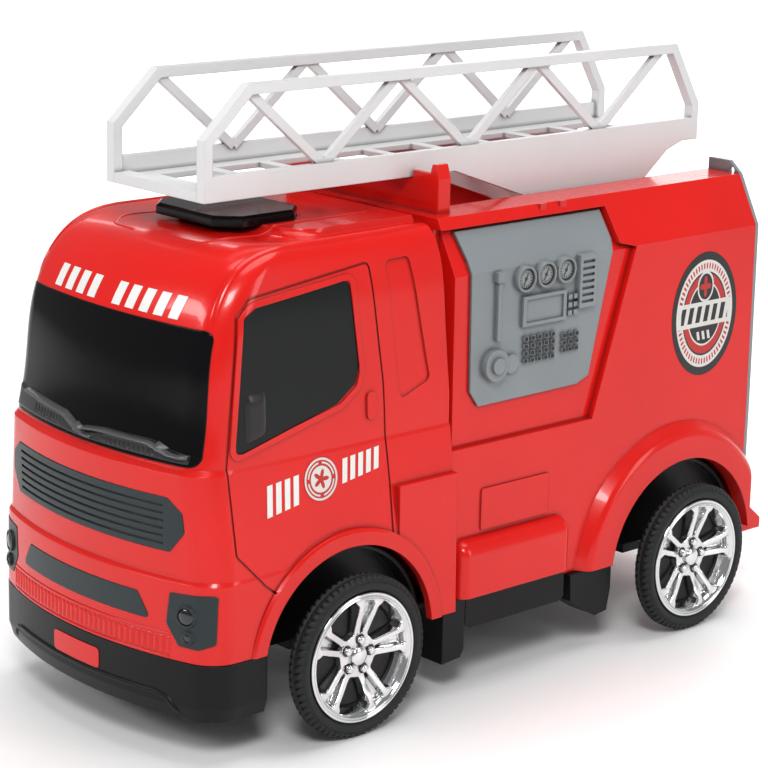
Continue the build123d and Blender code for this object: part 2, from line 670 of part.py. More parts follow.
with BuildPart() as chassis_screws:
    for x, y in chassis_screws_at:
        add(post(x, y, screw_radius, floor_z, floor_z + 12.0))
        add(post(x, y, screw_head_radius, floor_z - 1.8, floor_z))

# Wheels and axles
hub_radius = 6.0


def tyre_solid(side, axle_y):
    """Black tyre with a closed back and a hub for the axle."""
    outer = side * wheel_outer_x
    inner = side * wheel_plane_x
    web = inner + side * web_thickness
    boss = inner - side * 3.0
    shoulder = side * 2.2
    plane = Plane(origin=(0, axle_y, axle_z), x_dir=(1, 0, 0), z_dir=(0, -1, 0))
    with BuildPart() as tyre:
        with BuildSketch(plane):
            Polygon(
                (boss, axle_radius), (boss, hub_radius), (inner, hub_radius), (inner, tyre_radius - 2.2),
                (inner + shoulder, tyre_radius), (outer - shoulder, tyre_radius), (outer, tyre_radius - 1.6),
                (outer, rim_radius + 0.6), (outer - side, rim_radius), (web, rim_radius), (web, axle_radius),
                align=None)
        revolve(axis=Axis((0, axle_y, axle_z), (1, 0, 0)))
    return tyre.part


def rim_solid(side, axle_y):
    """Bright wheel face with five split spokes."""
    face = side * (wheel_outer_x - 1.0)
    back = side * (wheel_plane_x + web_thickness)
    hub_face = side * (wheel_outer_x - 5.0)
    plane = Plane(origin=(0, axle_y, axle_z), x_dir=(1, 0, 0), z_dir=(0, -1, 0))
    disc = Plane(origin=(hub_face, axle_y, axle_z), x_dir=(0, side, 0), z_dir=(-side, 0, 0))
    with BuildPart() as rim:
        with BuildSketch(plane):
            Polygon((back, rim_radius), (face, rim_radius), (face + side * 1.0, rim_radius - 0.4),
                    (face + side * 1.0, rim_radius - 1.6), (face - side * 1.5, rim_radius - 2.8),
                    (back, rim_radius - 4.2), align=None)
        revolve(axis=Axis((0, axle_y, axle_z), (1, 0, 0)))
        with BuildSketch(disc):
            Circle(9.0)
        extrude(amount=2.6)
        with BuildSketch(disc):
            with PolarLocations(0, 5, start_angle=90):
                with Locations((16.5, 0)):
                    Rectangle(20.0, 8.4)
                with Locations((19.0, 0)):
                    Rectangle(11.0, 2.4, mode=Mode.SUBTRACT)
        extrude(amount=2.6)
        with BuildSketch(disc):
            with PolarLocations(5.6, 5, start_angle=54):
                RegularPolygon(1.5, 6)
        extrude(amount=-1.2)
    return rim.part


with BuildPart() as front_left_tyre:
    add(tyre_solid(1, front_axle_y))
with BuildPart() as front_right_tyre:
    add(tyre_solid(-1, front_axle_y))
with BuildPart() as rear_left_tyre:
    add(tyre_solid(1, rear_axle_y))
with BuildPart() as rear_right_tyre:
    add(tyre_solid(-1, rear_axle_y))
with BuildPart() as front_left_rim:
    add(rim_solid(1, front_axle_y))
with BuildPart() as front_right_rim:
    add(rim_solid(-1, front_axle_y))
with BuildPart() as rear_left_rim:
    add(rim_solid(1, rear_axle_y))
with BuildPart() as rear_right_rim:
    add(rim_solid(-1, rear_axle_y))
with BuildPart() as front_axle:
    add(wheel_arch(front_axle_y, axle_radius, -axle_half_length, axle_half_length))
with BuildPart() as rear_axle:
    add(wheel_arch(rear_axle_y, axle_radius, -axle_half_length, axle_half_length))

# Ladder
node_count = 7
rail_front_y = ladder_front_y + 23.0
rail_back_y = ladder_back_y - 17.5
truss_pitch = (rail_back_y - 8.0 - rail_front_y) / (node_count - 1)
rail_mid_z = rail_top_z - rail_height / 2


def ladder_side_solid(side):
    """One side of the ladder: beam, top rail, end frames, truss and pivot plate."""
    inner_x = side * (ladder_half_width - ladder_side)
    truss_x = side * (ladder_half_width - ladder_side / 2 - 1.4)
    nodes = [(rail_front_y + k * truss_pitch, rail_mid_z if k % 2 == 0 else beam_top_z - 1.0)
             for k in range(node_count)]
    frame = [
        (ladder_front_y, beam_bottom_z), (ladder_front_y, 252.0), (rail_front_y, rail_top_z),
        (rail_back_y, rail_top_z), (ladder_back_y, 244.5), (ladder_back_y, beam_bottom_z)]
    with BuildPart() as body:
        with BuildSketch(Plane.YZ.offset(inner_x)):
            Polygon((ladder_front_y + 1, beam_bottom_z), (ladder_back_y - 1, beam_bottom_z),
                    (ladder_back_y - 1, beam_top_z), (ladder_front_y + 1, beam_top_z), align=None)
            Polygon((pivot_y - 99.0, beam_bottom_z + 1), (pivot_y - 12.0, pivot_z - 5.0),
                    (pivot_y - 5.0, pivot_z - 9.5), (pivot_y + 5.0, pivot_z - 9.5),
                    (pivot_y + 12.0, pivot_z - 3.0), (pivot_y + 43.0, beam_bottom_z - 3.5),
                    (pivot_y + 56.0, beam_bottom_z + 1), align=None)
            with Locations((pivot_y, pivot_z)):
                Circle(pivot_radius + running_clearance, mode=Mode.SUBTRACT)
        extrude(amount=side * ladder_side)
        with BuildSketch(Plane.YZ.offset(inner_x - side * (rail_width - ladder_side))):
            Polygon(*frame, align=None)
            offset(amount=-rail_height, kind=Kind.INTERSECTION, mode=Mode.SUBTRACT)
            with Locations(((ladder_front_y + ladder_back_y) / 2, beam_bottom_z)):
                Rectangle(ladder_back_y - ladder_front_y - 2 * rail_height, 2 * rail_height,
                          mode=Mode.SUBTRACT)
        extrude(amount=side * rail_width)
        with BuildSketch(Plane.YZ.offset(truss_x - side * 1.4)):
            for first, second in zip(nodes[:-1], nodes[1:]):
                bar_between(first, second, truss_width)
        extrude(amount=side * 2.8)
    return body.part


with BuildPart() as ladder_left_side:
    add(ladder_side_solid(1))
with BuildPart() as ladder_right_side:
    add(ladder_side_solid(-1))

rung_count = 9
floor_half = ladder_half_width - ladder_side
with BuildPart() as ladder_floor:
    add(block(-floor_half + rail_width - ladder_side, floor_half - rail_width + ladder_side, ladder_front_y,
              ladder_front_y + 8.0, beam_bottom_z, beam_bottom_z + 4.5))
    add(block(-floor_half, floor_half, ladder_front_y + rail_height + 0.1, ladder_back_y - rail_height - 0.1,
              beam_bottom_z + 0.6, beam_bottom_z + 3.0))
    rung_pitch = (ladder_back_y - ladder_front_y - 30.0) / rung_count
    for k in range(rung_count):
        y = ladder_front_y + 15.0 + rung_pitch * (k + 0.5)
        add(block(-20.0, 20.0, y - rung_pitch / 2 + 3.0, y + rung_pitch / 2 - 3.0, 220, 240),
            mode=Mode.SUBTRACT)

with BuildPart() as ladder_pivot_pin:
    add(wheel_arch(pivot_y, pivot_radius, -trough_half_width - 6.0, trough_half_width + 6.0, pivot_z))

# Labels and files
for name, piece in (
    ("cab_shell", cab_shell), ("windscreen", windscreen), ("left_side_window", left_side_window),
    ("right_side_window", right_side_window), ("upper_grille", upper_grille), ("lower_grille", lower_grille),
    ("left_headlight", left_headlight), ("right_headlight", right_headlight), ("bumper_plate", bumper_plate),
    ("roof_pad", roof_pad), ("rear_shell", rear_shell), ("left_control_panel", left_control_panel),
    ("right_control_panel", right_control_panel), ("rear_panel", rear_panel), ("chassis", chassis),
    ("chassis_screws", chassis_screws), ("front_axle", front_axle), ("rear_axle", rear_axle),
    ("front_left_tyre", front_left_tyre), ("front_right_tyre", front_right_tyre),
    ("rear_left_tyre", rear_left_tyre), ("rear_right_tyre", rear_right_tyre),
    ("front_left_rim", front_left_rim), ("front_right_rim", front_right_rim),
    ("rear_left_rim", rear_left_rim), ("rear_right_rim", rear_right_rim),
    ("ladder_left_side", ladder_left_side), ("ladder_right_side", ladder_right_side),
    ("ladder_floor", ladder_floor), ("ladder_pivot_pin", ladder_pivot_pin),
):
    grounded = piece.part.moved(Location((0, 0, -ground_z)))
    grounded.label = name
    export_step(grounded, f"parts/{name}.step")
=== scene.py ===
import json
import math

import bpy
import bmesh
import numpy as np
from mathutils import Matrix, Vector


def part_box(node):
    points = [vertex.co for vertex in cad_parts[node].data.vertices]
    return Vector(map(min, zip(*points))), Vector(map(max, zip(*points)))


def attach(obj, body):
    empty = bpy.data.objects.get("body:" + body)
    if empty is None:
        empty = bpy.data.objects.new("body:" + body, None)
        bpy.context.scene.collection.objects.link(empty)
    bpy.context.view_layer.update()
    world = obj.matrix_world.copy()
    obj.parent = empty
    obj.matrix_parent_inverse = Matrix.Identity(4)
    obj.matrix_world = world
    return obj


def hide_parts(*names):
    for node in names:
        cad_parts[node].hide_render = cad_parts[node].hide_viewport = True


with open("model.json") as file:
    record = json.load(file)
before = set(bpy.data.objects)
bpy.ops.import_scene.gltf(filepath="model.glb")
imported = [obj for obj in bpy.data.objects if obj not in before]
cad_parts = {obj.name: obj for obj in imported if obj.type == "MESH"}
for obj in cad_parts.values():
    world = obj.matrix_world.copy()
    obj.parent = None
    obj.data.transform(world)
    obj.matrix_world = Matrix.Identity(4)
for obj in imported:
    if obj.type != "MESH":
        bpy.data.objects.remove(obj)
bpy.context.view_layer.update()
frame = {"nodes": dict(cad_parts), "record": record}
nodes = frame["nodes"]
scene = bpy.context.scene
print("frame loaded:", len(nodes), "nodes")


def surfaceMesh(name, points, wrapU=False, wrapV=False):
    # points[i, j] is the place at step i along u and step j along v; each cell of the grid is one quad
    rows, columns = points.shape[:2]
    i, j = np.meshgrid(np.arange(rows if wrapU else rows - 1),
                       np.arange(columns if wrapV else columns - 1), indexing="ij")
    i, j = i.ravel(), j.ravel()
    stepU = np.stack((i, i + 1, i + 1, i), axis=1)
    stepV = np.stack((j, j, j + 1, j + 1), axis=1)
    corners = (stepU % rows) * columns + stepV % columns
    mesh = bpy.data.meshes.new(name)
    mesh.vertices.add(rows * columns)
    mesh.vertices.foreach_set("co", points.astype(np.float32).ravel())
    mesh.loops.add(corners.size)
    mesh.loops.foreach_set("vertex_index", corners.astype(np.int32).ravel())
    mesh.polygons.add(len(corners))
    mesh.polygons.foreach_set("loop_start", np.arange(0, corners.size, 4, dtype=np.int32))
    mesh.update(calc_edges=True)
    uv = np.stack((stepU / max(rows - (not wrapU), 1), stepV / max(columns - (not wrapV), 1)), axis=2)
    mesh.uv_layers.new(name="surface").data.foreach_set("uv", uv.astype(np.float32).ravel())
    return mesh


def addPiece(name, mesh, material, body, creaseDegrees=35.0):
    # puts a finished mesh in the scene, at the origin, riding on its body
    mesh.shade_smooth()
    mesh.set_sharp_from_angle(angle=math.radians(creaseDegrees))
    piece = bpy.data.objects.new(name, mesh)
    scene.collection.objects.link(piece)
    for one in material if isinstance(material, (list, tuple)) else (material,):
        mesh.materials.append(one)
    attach(piece, body)
    return piece


def closeMesh(mesh):
    # welds the points that meet at seams and poles and turns every face of the closed shape outwards
    work = bmesh.new()
    work.from_mesh(mesh)
    bmesh.ops.remove_doubles(work, verts=work.verts, dist=1e-7)
    bmesh.ops.dissolve_degenerate(work, edges=work.edges, dist=1e-8)
    bmesh.ops.recalc_face_normals(work, faces=work.faces)
    work.to_mesh(mesh)
    work.free()
    return mesh


def applyModifiers(piece):
    # keeps the shape that the modifiers give, as plain mesh
    bpy.context.view_layer.update()
    shaped = bpy.data.meshes.new_from_object(piece.evaluated_get(bpy.context.evaluated_depsgraph_get()))
    piece.modifiers.clear()
    piece.data = shaped
    shaped.name = piece.name
    return piece


def layOn(piece, node, axis):
    # drops a flat piece along one axis onto a CAD node
    wrap = piece.modifiers.new("wrap", "SHRINKWRAP")
    wrap.target = nodes[node]
    wrap.wrap_method = "PROJECT"
    wrap.use_project_x = axis == "X"
    wrap.use_project_y = axis == "Y"
    wrap.use_project_z = axis == "Z"
    wrap.use_negative_direction = True
    wrap.use_positive_direction = True
    return applyModifiers(piece)


def joinGrids(name, grids):
    # several separate grids of one size as a single mesh
    mesh = surfaceMesh(name, grids[0])
    count = len(grids)
    size = grids[0].shape[0] * grids[0].shape[1]
    corners = np.empty(len(mesh.loops), np.int32)
    mesh.loops.foreach_get("vertex_index", corners)
    uv = np.empty(len(mesh.loops) * 2, np.float32)
    mesh.uv_layers[0].data.foreach_get("uv", uv)
    bpy.data.meshes.remove(mesh)
    allCorners = (corners[None, :] + size * np.arange(count, dtype=np.int32)[:, None]).ravel()
    mesh = bpy.data.meshes.new(name)
    mesh.vertices.add(size * count)
    mesh.vertices.foreach_set("co", np.stack(grids).astype(np.float32).ravel())
    mesh.loops.add(allCorners.size)
    mesh.loops.foreach_set("vertex_index", allCorners)
    mesh.polygons.add(allCorners.size // 4)
    mesh.polygons.foreach_set("loop_start", np.arange(0, allCorners.size, 4, dtype=np.int32))
    mesh.update(calc_edges=True)
    mesh.uv_layers.new(name="surface").data.foreach_set("uv", np.tile(uv, count))
    return mesh


def newGroup(name, inputs, outputs):
    group = bpy.data.node_groups.new(name, "ShaderNodeTree")
    for label, kind, value in inputs:
        socket = group.interface.new_socket(name=label, in_out="INPUT", socket_type=kind)
        if value is not None:
            socket.default_value = value
    for label, kind in outputs:
        group.interface.new_socket(name=label, in_out="OUTPUT", socket_type=kind)
    return group, group.nodes.new("NodeGroupInput"), group.nodes.new("NodeGroupOutput")


def maths(tree, operation, first, second=None, third=None):
    node = tree.nodes.new("ShaderNodeMath")
    node.operation = operation
    for socket, value in zip(node.inputs, (first, second, third)):
        if value is None:
            continue
        if isinstance(value, (int, float)):
            socket.default_value = value
        else:
            tree.links.new(value, socket)
    return node.outputs[0]


def noise(tree, vector, scale, detail=3.0, roughness=0.5):
    node = tree.nodes.new("ShaderNodeTexNoise")
    node.inputs["Scale"].default_value = scale if isinstance(scale, (int, float)) else 1.0
    if not isinstance(scale, (int, float)):
        tree.links.new(scale, node.inputs["Scale"])
    node.inputs["Detail"].default_value = detail
    node.inputs["Roughness"].default_value = roughness
    tree.links.new(vector, node.inputs["Vector"])
    return node.outputs["Fac"]


def mixColour(tree, factor, first, second, blend="MIX"):
    node = tree.nodes.new("ShaderNodeMix")
    node.data_type = "RGBA"
    node.blend_type = blend
    for label, value in (("Factor", factor), ("A", first), ("B", second)):
        socket = node.inputs[label]
        if isinstance(value, (int, float, tuple)):
            socket.default_value = value
        else:
            tree.links.new(value, socket)
    return node.outputs["Result"]


def makeMouldedSkin():
    # slow shade drift, fine moulding grain and faint handling smudges, in object space
    group, start, end = newGroup(
        "mouldedSkin",
        [("Colour", "NodeSocketColor", (0.5, 0.5, 0.5, 1)), ("Drift Scale", "NodeSocketFloat", 14.0),
         ("Drift", "NodeSocketFloat", 0.12), ("Grain Scale", "NodeSocketFloat", 2200.0),
         ("Roughness", "NodeSocketFloat", 0.25), ("Smudge", "NodeSocketFloat", 0.08)],
        [("Colour", "NodeSocketColor"), ("Roughness", "NodeSocketFloat"), ("Height", "NodeSocketFloat")])
    place = group.nodes.new("ShaderNodeTexCoord").outputs["Object"]
    slow = noise(group, place, start.outputs["Drift Scale"], 4.0)
    grain = noise(group, place, start.outputs["Grain Scale"], 2.0)
    smear = noise(group, place, 46.0, 6.0, 0.65)
    shade = maths(group, "MULTIPLY_ADD", maths(group, "SUBTRACT", slow, 0.5), start.outputs["Drift"], 0.0)
    darker = mixColour(group, maths(group, "ADD", maths(group, "MULTIPLY", shade, 2.0), 0.12),
                       start.outputs["Colour"], (0.0, 0.0, 0.0, 1.0))
    group.links.new(darker, end.inputs["Colour"])
    smudge = maths(group, "MULTIPLY", maths(group, "SUBTRACT", smear, 0.45), start.outputs["Smudge"])
    rough = maths(group, "ADD", start.outputs["Roughness"], maths(group, "MULTIPLY", smudge, 2.0))
    fine = maths(group, "MULTIPLY_ADD", maths(group, "SUBTRACT", grain, 0.5), 0.05, 0.0)
    group.links.new(maths(group, "ADD", rough, fine), end.inputs["Roughness"])
    wave = maths(group, "MULTIPLY", slow, 0.25)
    group.links.new(maths(group, "ADD", grain, wave), end.inputs["Height"])
    return group


def makeRoundedEdgeHighlight():
    # rounded edges: a mask where the surface turns sharply, which paints a highlight along the edges broken
    # up by noise, and the softened normal
    group, start, end = newGroup(
        "roundedEdgeHighlight",
        [("Break Scale", "NodeSocketFloat", 300.0), ("Amount", "NodeSocketFloat", 0.5)],
        [("Mask", "NodeSocketFloat"), ("Normal", "NodeSocketVector")])
    soft = group.nodes.new("ShaderNodeBevel")
    soft.samples = 6
    soft.inputs["Radius"].default_value = 0.0007
    flat = group.nodes.new("ShaderNodeNewGeometry").outputs["Normal"]
    likeness = group.nodes.new("ShaderNodeVectorMath")
    likeness.operation = "DOT_PRODUCT"
    group.links.new(soft.outputs["Normal"], likeness.inputs[0])
    group.links.new(flat, likeness.inputs[1])
    turn = maths(group, "MULTIPLY", maths(group, "SUBTRACT", 1.0, likeness.outputs["Value"]), 5.0)
    place = group.nodes.new("ShaderNodeTexCoord").outputs["Object"]
    broken = noise(group, place, start.outputs["Break Scale"], 5.0, 0.7)
    highlightMask = maths(group, "MULTIPLY", maths(group, "MULTIPLY", turn, broken), start.outputs["Amount"])
    clamp = group.nodes.new("ShaderNodeClamp")
    group.links.new(highlightMask, clamp.inputs["Value"])
    group.links.new(clamp.outputs["Result"], end.inputs["Mask"])
    group.links.new(soft.outputs["Normal"], end.inputs["Normal"])
    return group


def makeSettledDust():
    # pale dust that gathers in corners and, thinly, on what faces up
    group, start, end = newGroup(
        "settledDust",
        [("Amount", "NodeSocketFloat", 0.3)], [("Mask", "NodeSocketFloat")])
    corner = group.nodes.new("ShaderNodeAmbientOcclusion")
    corner.samples = 4
    corner.inputs["Distance"].default_value = 0.006
    place = group.nodes.new("ShaderNodeTexCoord").outputs["Object"]
    patch = noise(group, place, 90.0, 5.0, 0.6)
    hidden = maths(group, "SUBTRACT", 1.0, corner.outputs["AO"])
    facing = group.nodes.new("ShaderNodeSeparateXYZ")
    group.links.new(group.nodes.new("ShaderNodeNewGeometry").outputs["Normal"], facing.inputs[0])
    upward = maths(group, "MULTIPLY", maths(group, "MAXIMUM", facing.outputs["Z"], 0.0), 0.12)
    both = maths(group, "MULTIPLY", maths(group, "ADD", hidden, upward), patch)
    clamp = group.nodes.new("ShaderNodeClamp")
    group.links.new(maths(group, "MULTIPLY", both, start.outputs["Amount"]), clamp.inputs["Value"])
    group.links.new(clamp.outputs["Result"], end.inputs["Mask"])
    return group


def makeCreviceShade():
    # darkens narrow grooves and the feet of raised details, by how much of the near sky a point can't see
    group, start, end = newGroup(
        "creviceShade",
        [("Amount", "NodeSocketFloat", 1.0)], [("Mask", "NodeSocketFloat")])
    corner = group.nodes.new("ShaderNodeAmbientOcclusion")
    corner.samples = 6
    corner.inputs["Distance"].default_value = 0.0022
    hidden = maths(group, "SUBTRACT", 1.0, corner.outputs["AO"])
    clamp = group.nodes.new("ShaderNodeClamp")
    group.links.new(maths(group, "MULTIPLY", hidden, start.outputs["Amount"]), clamp.inputs["Value"])
    group.links.new(clamp.outputs["Result"], end.inputs["Mask"])
    return group


mouldedSkin = makeMouldedSkin()
creviceShade = makeCreviceShade()
roundedEdgeHighlight = makeRoundedEdgeHighlight()
settledDust = makeSettledDust()


def placeGroup(tree, group, values):
    node = tree.nodes.new("ShaderNodeGroup")
    node.node_tree = group
    for label, value in values.items():
        node.inputs[label].default_value = value
    return node


def plasticFinish(name, look):
    # moulded plastic or rubber: skin, a painted highlight along the edges, painted shade in the crevices and
    # dust under one Principled shader
    material = bpy.data.materials.new(name)
    material.use_nodes = True
    tree = material.node_tree
    shader = tree.nodes["Principled BSDF"]
    skin = placeGroup(tree, mouldedSkin, {
        "Colour": (*look["colour"], 1.0), "Drift": look.get("drift", 0.1),
        "Grain Scale": look.get("grainScale", 2200.0), "Roughness": look["roughness"],
        "Smudge": look.get("smudge", 0.06)})
    # painted highlight: the edge group's mask lays a lighter colour along sharp edges, broken up by noise;
    # its normal output rounds the edges
    edgeHighlight = placeGroup(tree, roundedEdgeHighlight, {"Amount": look.get("edgeHighlight", 0.25)})
    dust = placeGroup(tree, settledDust, {"Amount": look.get("dust", 0.12)})
    withPaintedLight = mixColour(tree, edgeHighlight.outputs["Mask"], skin.outputs["Colour"], (*look["highlightColour"], 1.0))
    # painted shade: the colour darkens towards 0.12 of itself in narrow grooves and at the feet of raised
    # details
    crevice = placeGroup(tree, creviceShade, {"Amount": look.get("crevice", 1.1)})
    withPaintedLight = mixColour(tree, crevice.outputs["Mask"], withPaintedLight, (*(0.12 * part for part in look["colour"]), 1.0))
    dustAndPaintedLight = mixColour(tree, dust.outputs["Mask"], withPaintedLight, (0.42, 0.4, 0.37, 1.0))
    tree.links.new(dustAndPaintedLight, shader.inputs["Base Color"])
    rough = maths(tree, "ADD", skin.outputs["Roughness"], maths(tree, "MULTIPLY", dust.outputs["Mask"], 0.5))
    tree.links.new(rough, shader.inputs["Roughness"])
    bump = tree.nodes.new("ShaderNodeBump")
    bump.inputs["Strength"].default_value = look.get("bump", 0.06)
    bump.inputs["Distance"].default_value = 0.0002
    tree.links.new(skin.outputs["Height"], bump.inputs["Height"])
    tree.links.new(edgeHighlight.outputs["Normal"], bump.inputs["Normal"])
    tree.links.new(bump.outputs["Normal"], shader.inputs["Normal"])
    shader.inputs["Metallic"].default_value = look.get("metallic", 0.0)
    shader.inputs["Specular IOR Level"].default_value = look.get("specular", 0.5)
    shader.inputs["Coat Weight"].default_value = look.get("coat", 0.0)
    shader.inputs["Coat Roughness"].default_value = 0.04
    return material


# each finish's second colour is a painted highlight, laid along its sharp edges; the edge amount, where
# given, sets how strong that painted highlight is
finishes = {
    "redPlastic": {"colour": (0.76, 0.012, 0.008), "highlightColour": (0.95, 0.12, 0.08), "roughness": 0.22,
                   "specular": 0.30, "coat": 0.35, "drift": 0.10, "bump": 0.05, "edgeHighlight": 0.22, "dust": 0.02},
    "blackGloss": {"colour": (0.004, 0.004, 0.005), "highlightColour": (0.05, 0.05, 0.055), "roughness": 0.10,
                   "specular": 0.22, "smudge": 0.08, "dust": 0.01},
    "smokedWindow": {"colour": (0.012, 0.013, 0.013), "highlightColour": (0.06, 0.06, 0.065), "roughness": 0.20,
                     "specular": 0.25, "smudge": 0.08, "dust": 0.012},
    "darkInsert": {"colour": (0.013, 0.026, 0.030), "highlightColour": (0.07, 0.09, 0.10), "roughness": 0.34,
                   "dust": 0.10},
    "greyPanel": {"colour": (0.27, 0.295, 0.31), "highlightColour": (0.50, 0.53, 0.54), "roughness": 0.38,
                  "dust": 0.12, "drift": 0.14},
    "blackPlastic": {"colour": (0.007, 0.007, 0.008), "highlightColour": (0.06, 0.06, 0.065), "roughness": 0.34,
                     "specular": 0.25, "bump": 0.12, "dust": 0.03},
    "ladderGrey": {"colour": (0.78, 0.785, 0.79), "highlightColour": (0.88, 0.88, 0.88), "roughness": 0.30,
                   "coat": 0.15, "dust": 0.06, "drift": 0.08},
    "tyreBlack": {"colour": (0.016, 0.018, 0.019), "highlightColour": (0.06, 0.065, 0.068), "roughness": 0.52,
                  "bump": 0.2, "grainScale": 1500.0, "specular": 0.35, "dust": 0.10},
    "rimChrome": {"colour": (0.86, 0.87, 0.88), "highlightColour": (0.98, 0.98, 0.98), "roughness": 0.09,
                  "metallic": 1.0, "drift": 0.05, "bump": 0.03, "dust": 0.08, "smudge": 0.08},
    "axleSteel": {"colour": (0.52, 0.52, 0.53), "highlightColour": (0.7, 0.7, 0.7), "roughness": 0.28,
                  "metallic": 1.0, "bump": 0.1},
    "screwSteel": {"colour": (0.42, 0.42, 0.43), "highlightColour": (0.65, 0.65, 0.65), "roughness": 0.35,
                   "metallic": 1.0, "bump": 0.1},
    "stickerWhite": {"colour": (0.86, 0.85, 0.83), "highlightColour": (0.95, 0.95, 0.95), "roughness": 0.30,
                     "coat": 0.2, "dust": 0.05},
    "lensGlass": {"colour": (0.010, 0.012, 0.014), "highlightColour": (0.35, 0.36, 0.37), "roughness": 0.08,
                  "coat": 0.8, "smudge": 0.04, "dust": 0.01},
    "keyBlack": {"colour": (0.014, 0.016, 0.018), "highlightColour": (0.05, 0.05, 0.05), "roughness": 0.40,
                 "dust": 0.04},
    "cowlGrey": {"colour": (0.030, 0.031, 0.032), "highlightColour": (0.14, 0.14, 0.14), "roughness": 0.32,
                 "dust": 0.14, "bump": 0.12},
    "wiperGrey": {"colour": (0.10, 0.10, 0.105), "highlightColour": (0.30, 0.30, 0.30), "roughness": 0.22,
                  "coat": 0.3, "dust": 0.06},
    "mirrorGrey": {"colour": (0.030, 0.027, 0.027), "highlightColour": (0.16, 0.15, 0.15), "roughness": 0.18,
                   "specular": 0.3, "drift": 0.3, "dust": 0.03},
    "wheelShadow": {"colour": (0.006, 0.006, 0.007), "highlightColour": (0.03, 0.03, 0.03), "roughness": 0.5,
                    "dust": 0.1},
}
materials = {name: plasticFinish(name, look) for name, look in finishes.items()}
slotFinish = {
    "red_plastic": "redPlastic", "black_gloss": "blackGloss", "smoked_window": "smokedWindow",
    "dark_insert": "darkInsert", "grey_panel": "greyPanel", "black_plastic": "blackPlastic",
    "ladder_grey": "ladderGrey", "tyre_black": "tyreBlack", "rim_chrome": "rimChrome",
    "axle_steel": "axleSteel", "screw_steel": "screwSteel"}
for part in frame["record"]["subparts"]:
    cadObject = nodes[part["node"]]
    cadObject.data.materials.clear()
    cadObject.data.materials.append(materials[slotFinish[part["material_slot"]]])
print("finishes on the CAD pieces")


wheel = {
    "spokeCount": 5, "spokeTurn": math.radians(8.0), "treadBlocks": 66, "grooveDepth": 0.0010,
    "web": 0.0016, "hubBehind": 0.0030, "shadowBelow": 0.0014, "steps": 660, "rimSteps": 720,
    "rimRings": 110}
face = {
    "spokeHalf": 4.3, "spokeSpread": 0.13, "spokeRoot": 9.0, "spokeTip": 2.2, "split": 0.15,
    "splitSpread": 0.145, "splitMost": 2.2, "splitDepth": 3.0, "crest": 3.1, "crestRise": 3.1, "ridge": 0.55,
    "barrelRise": 6.9, "capRadius": 4.2, "capBase": 4.6, "capRise": 1.3, "nutCircle": 6.9, "nutRadius": 1.7,
    "nutBase": 4.9, "nutRise": 0.9, "nutWell": 0.8, "nutWellRadius": 2.3, "hubRadius": 9.6, "hubHeight": 3.6,
    "lipHeight": 7.55, "lipWidth": 2.7, "groove": 0.35, "grooveWidth": 0.22}


def tyreSurface(side, centre, outerX, innerX, radius, rimRadius):
    # a profile (distance out, radius) turned about the axle; slanted grooves are pressed into the tread by
    # a rounded square wave of the turn angle, and one groove runs round the middle
    width = abs(outerX - innerX)
    hub, bore = -width - wheel["hubBehind"], 0.0021
    profile = np.array([
        (hub, bore), (hub, 0.0060), (-width, 0.0060), (-width, rimRadius - 0.004), (-width, radius - 0.0046),
        (-width + 0.0006, radius - 0.0022), (-width + 0.0016, radius - 0.0007), (-width + 0.0026, radius)])
    tread = np.stack((np.linspace(-width + 0.0030, -0.0024, 20), np.full(20, radius)), axis=1)
    wall = np.array([
        (-0.0016, radius - 0.0004), (-0.0008, radius - 0.0014), (-0.0002, radius - 0.0024),
        (-0.0006, radius - 0.0026), (-0.0002, radius - 0.0029), (0.0, radius - 0.0038),
        (-0.0002, rimRadius + 0.0016), (-0.0008, rimRadius + 0.0007), (-0.0016, rimRadius + 0.0001),
        (-width + wheel["web"], rimRadius), (-width + wheel["web"], 0.0200), (-width + wheel["web"], bore)])
    path = np.concatenate((profile, tread, wall))
    turn = np.linspace(0.0, 2 * math.pi, wheel["steps"], endpoint=False)[:, None]
    out, reach = path[None, :, 0], path[None, :, 1]
    onTread = np.clip((reach - (radius - 0.0030)) / 0.0022, 0.0, 1.0)
    across = (out + width / 2) / (width / 2)
    slant = turn + 0.045 * np.abs(across)
    wave = np.clip(3.2 * np.cos(slant * wheel["treadBlocks"]) - 1.6, 0.0, 1.0)
    ring = np.clip(1.6 - np.abs(across) * 7.0, 0.0, 1.0)
    depth = np.maximum(wave * np.clip(np.abs(across) * 5.0 - 0.6, 0.0, 1.0), ring * 0.8)
    reach = reach - depth * onTread * wheel["grooveDepth"]
    x = outerX + side * (out + 0.0 * turn)
    y = centre[1] + side * reach * np.cos(turn)
    z = centre[2] + reach * np.sin(turn)
    return np.stack((x, y, z), axis=2)


def smoothStep(value):
    value = np.clip(value, 0.0, 1.0)
    return value * value * (3.0 - 2.0 * value)


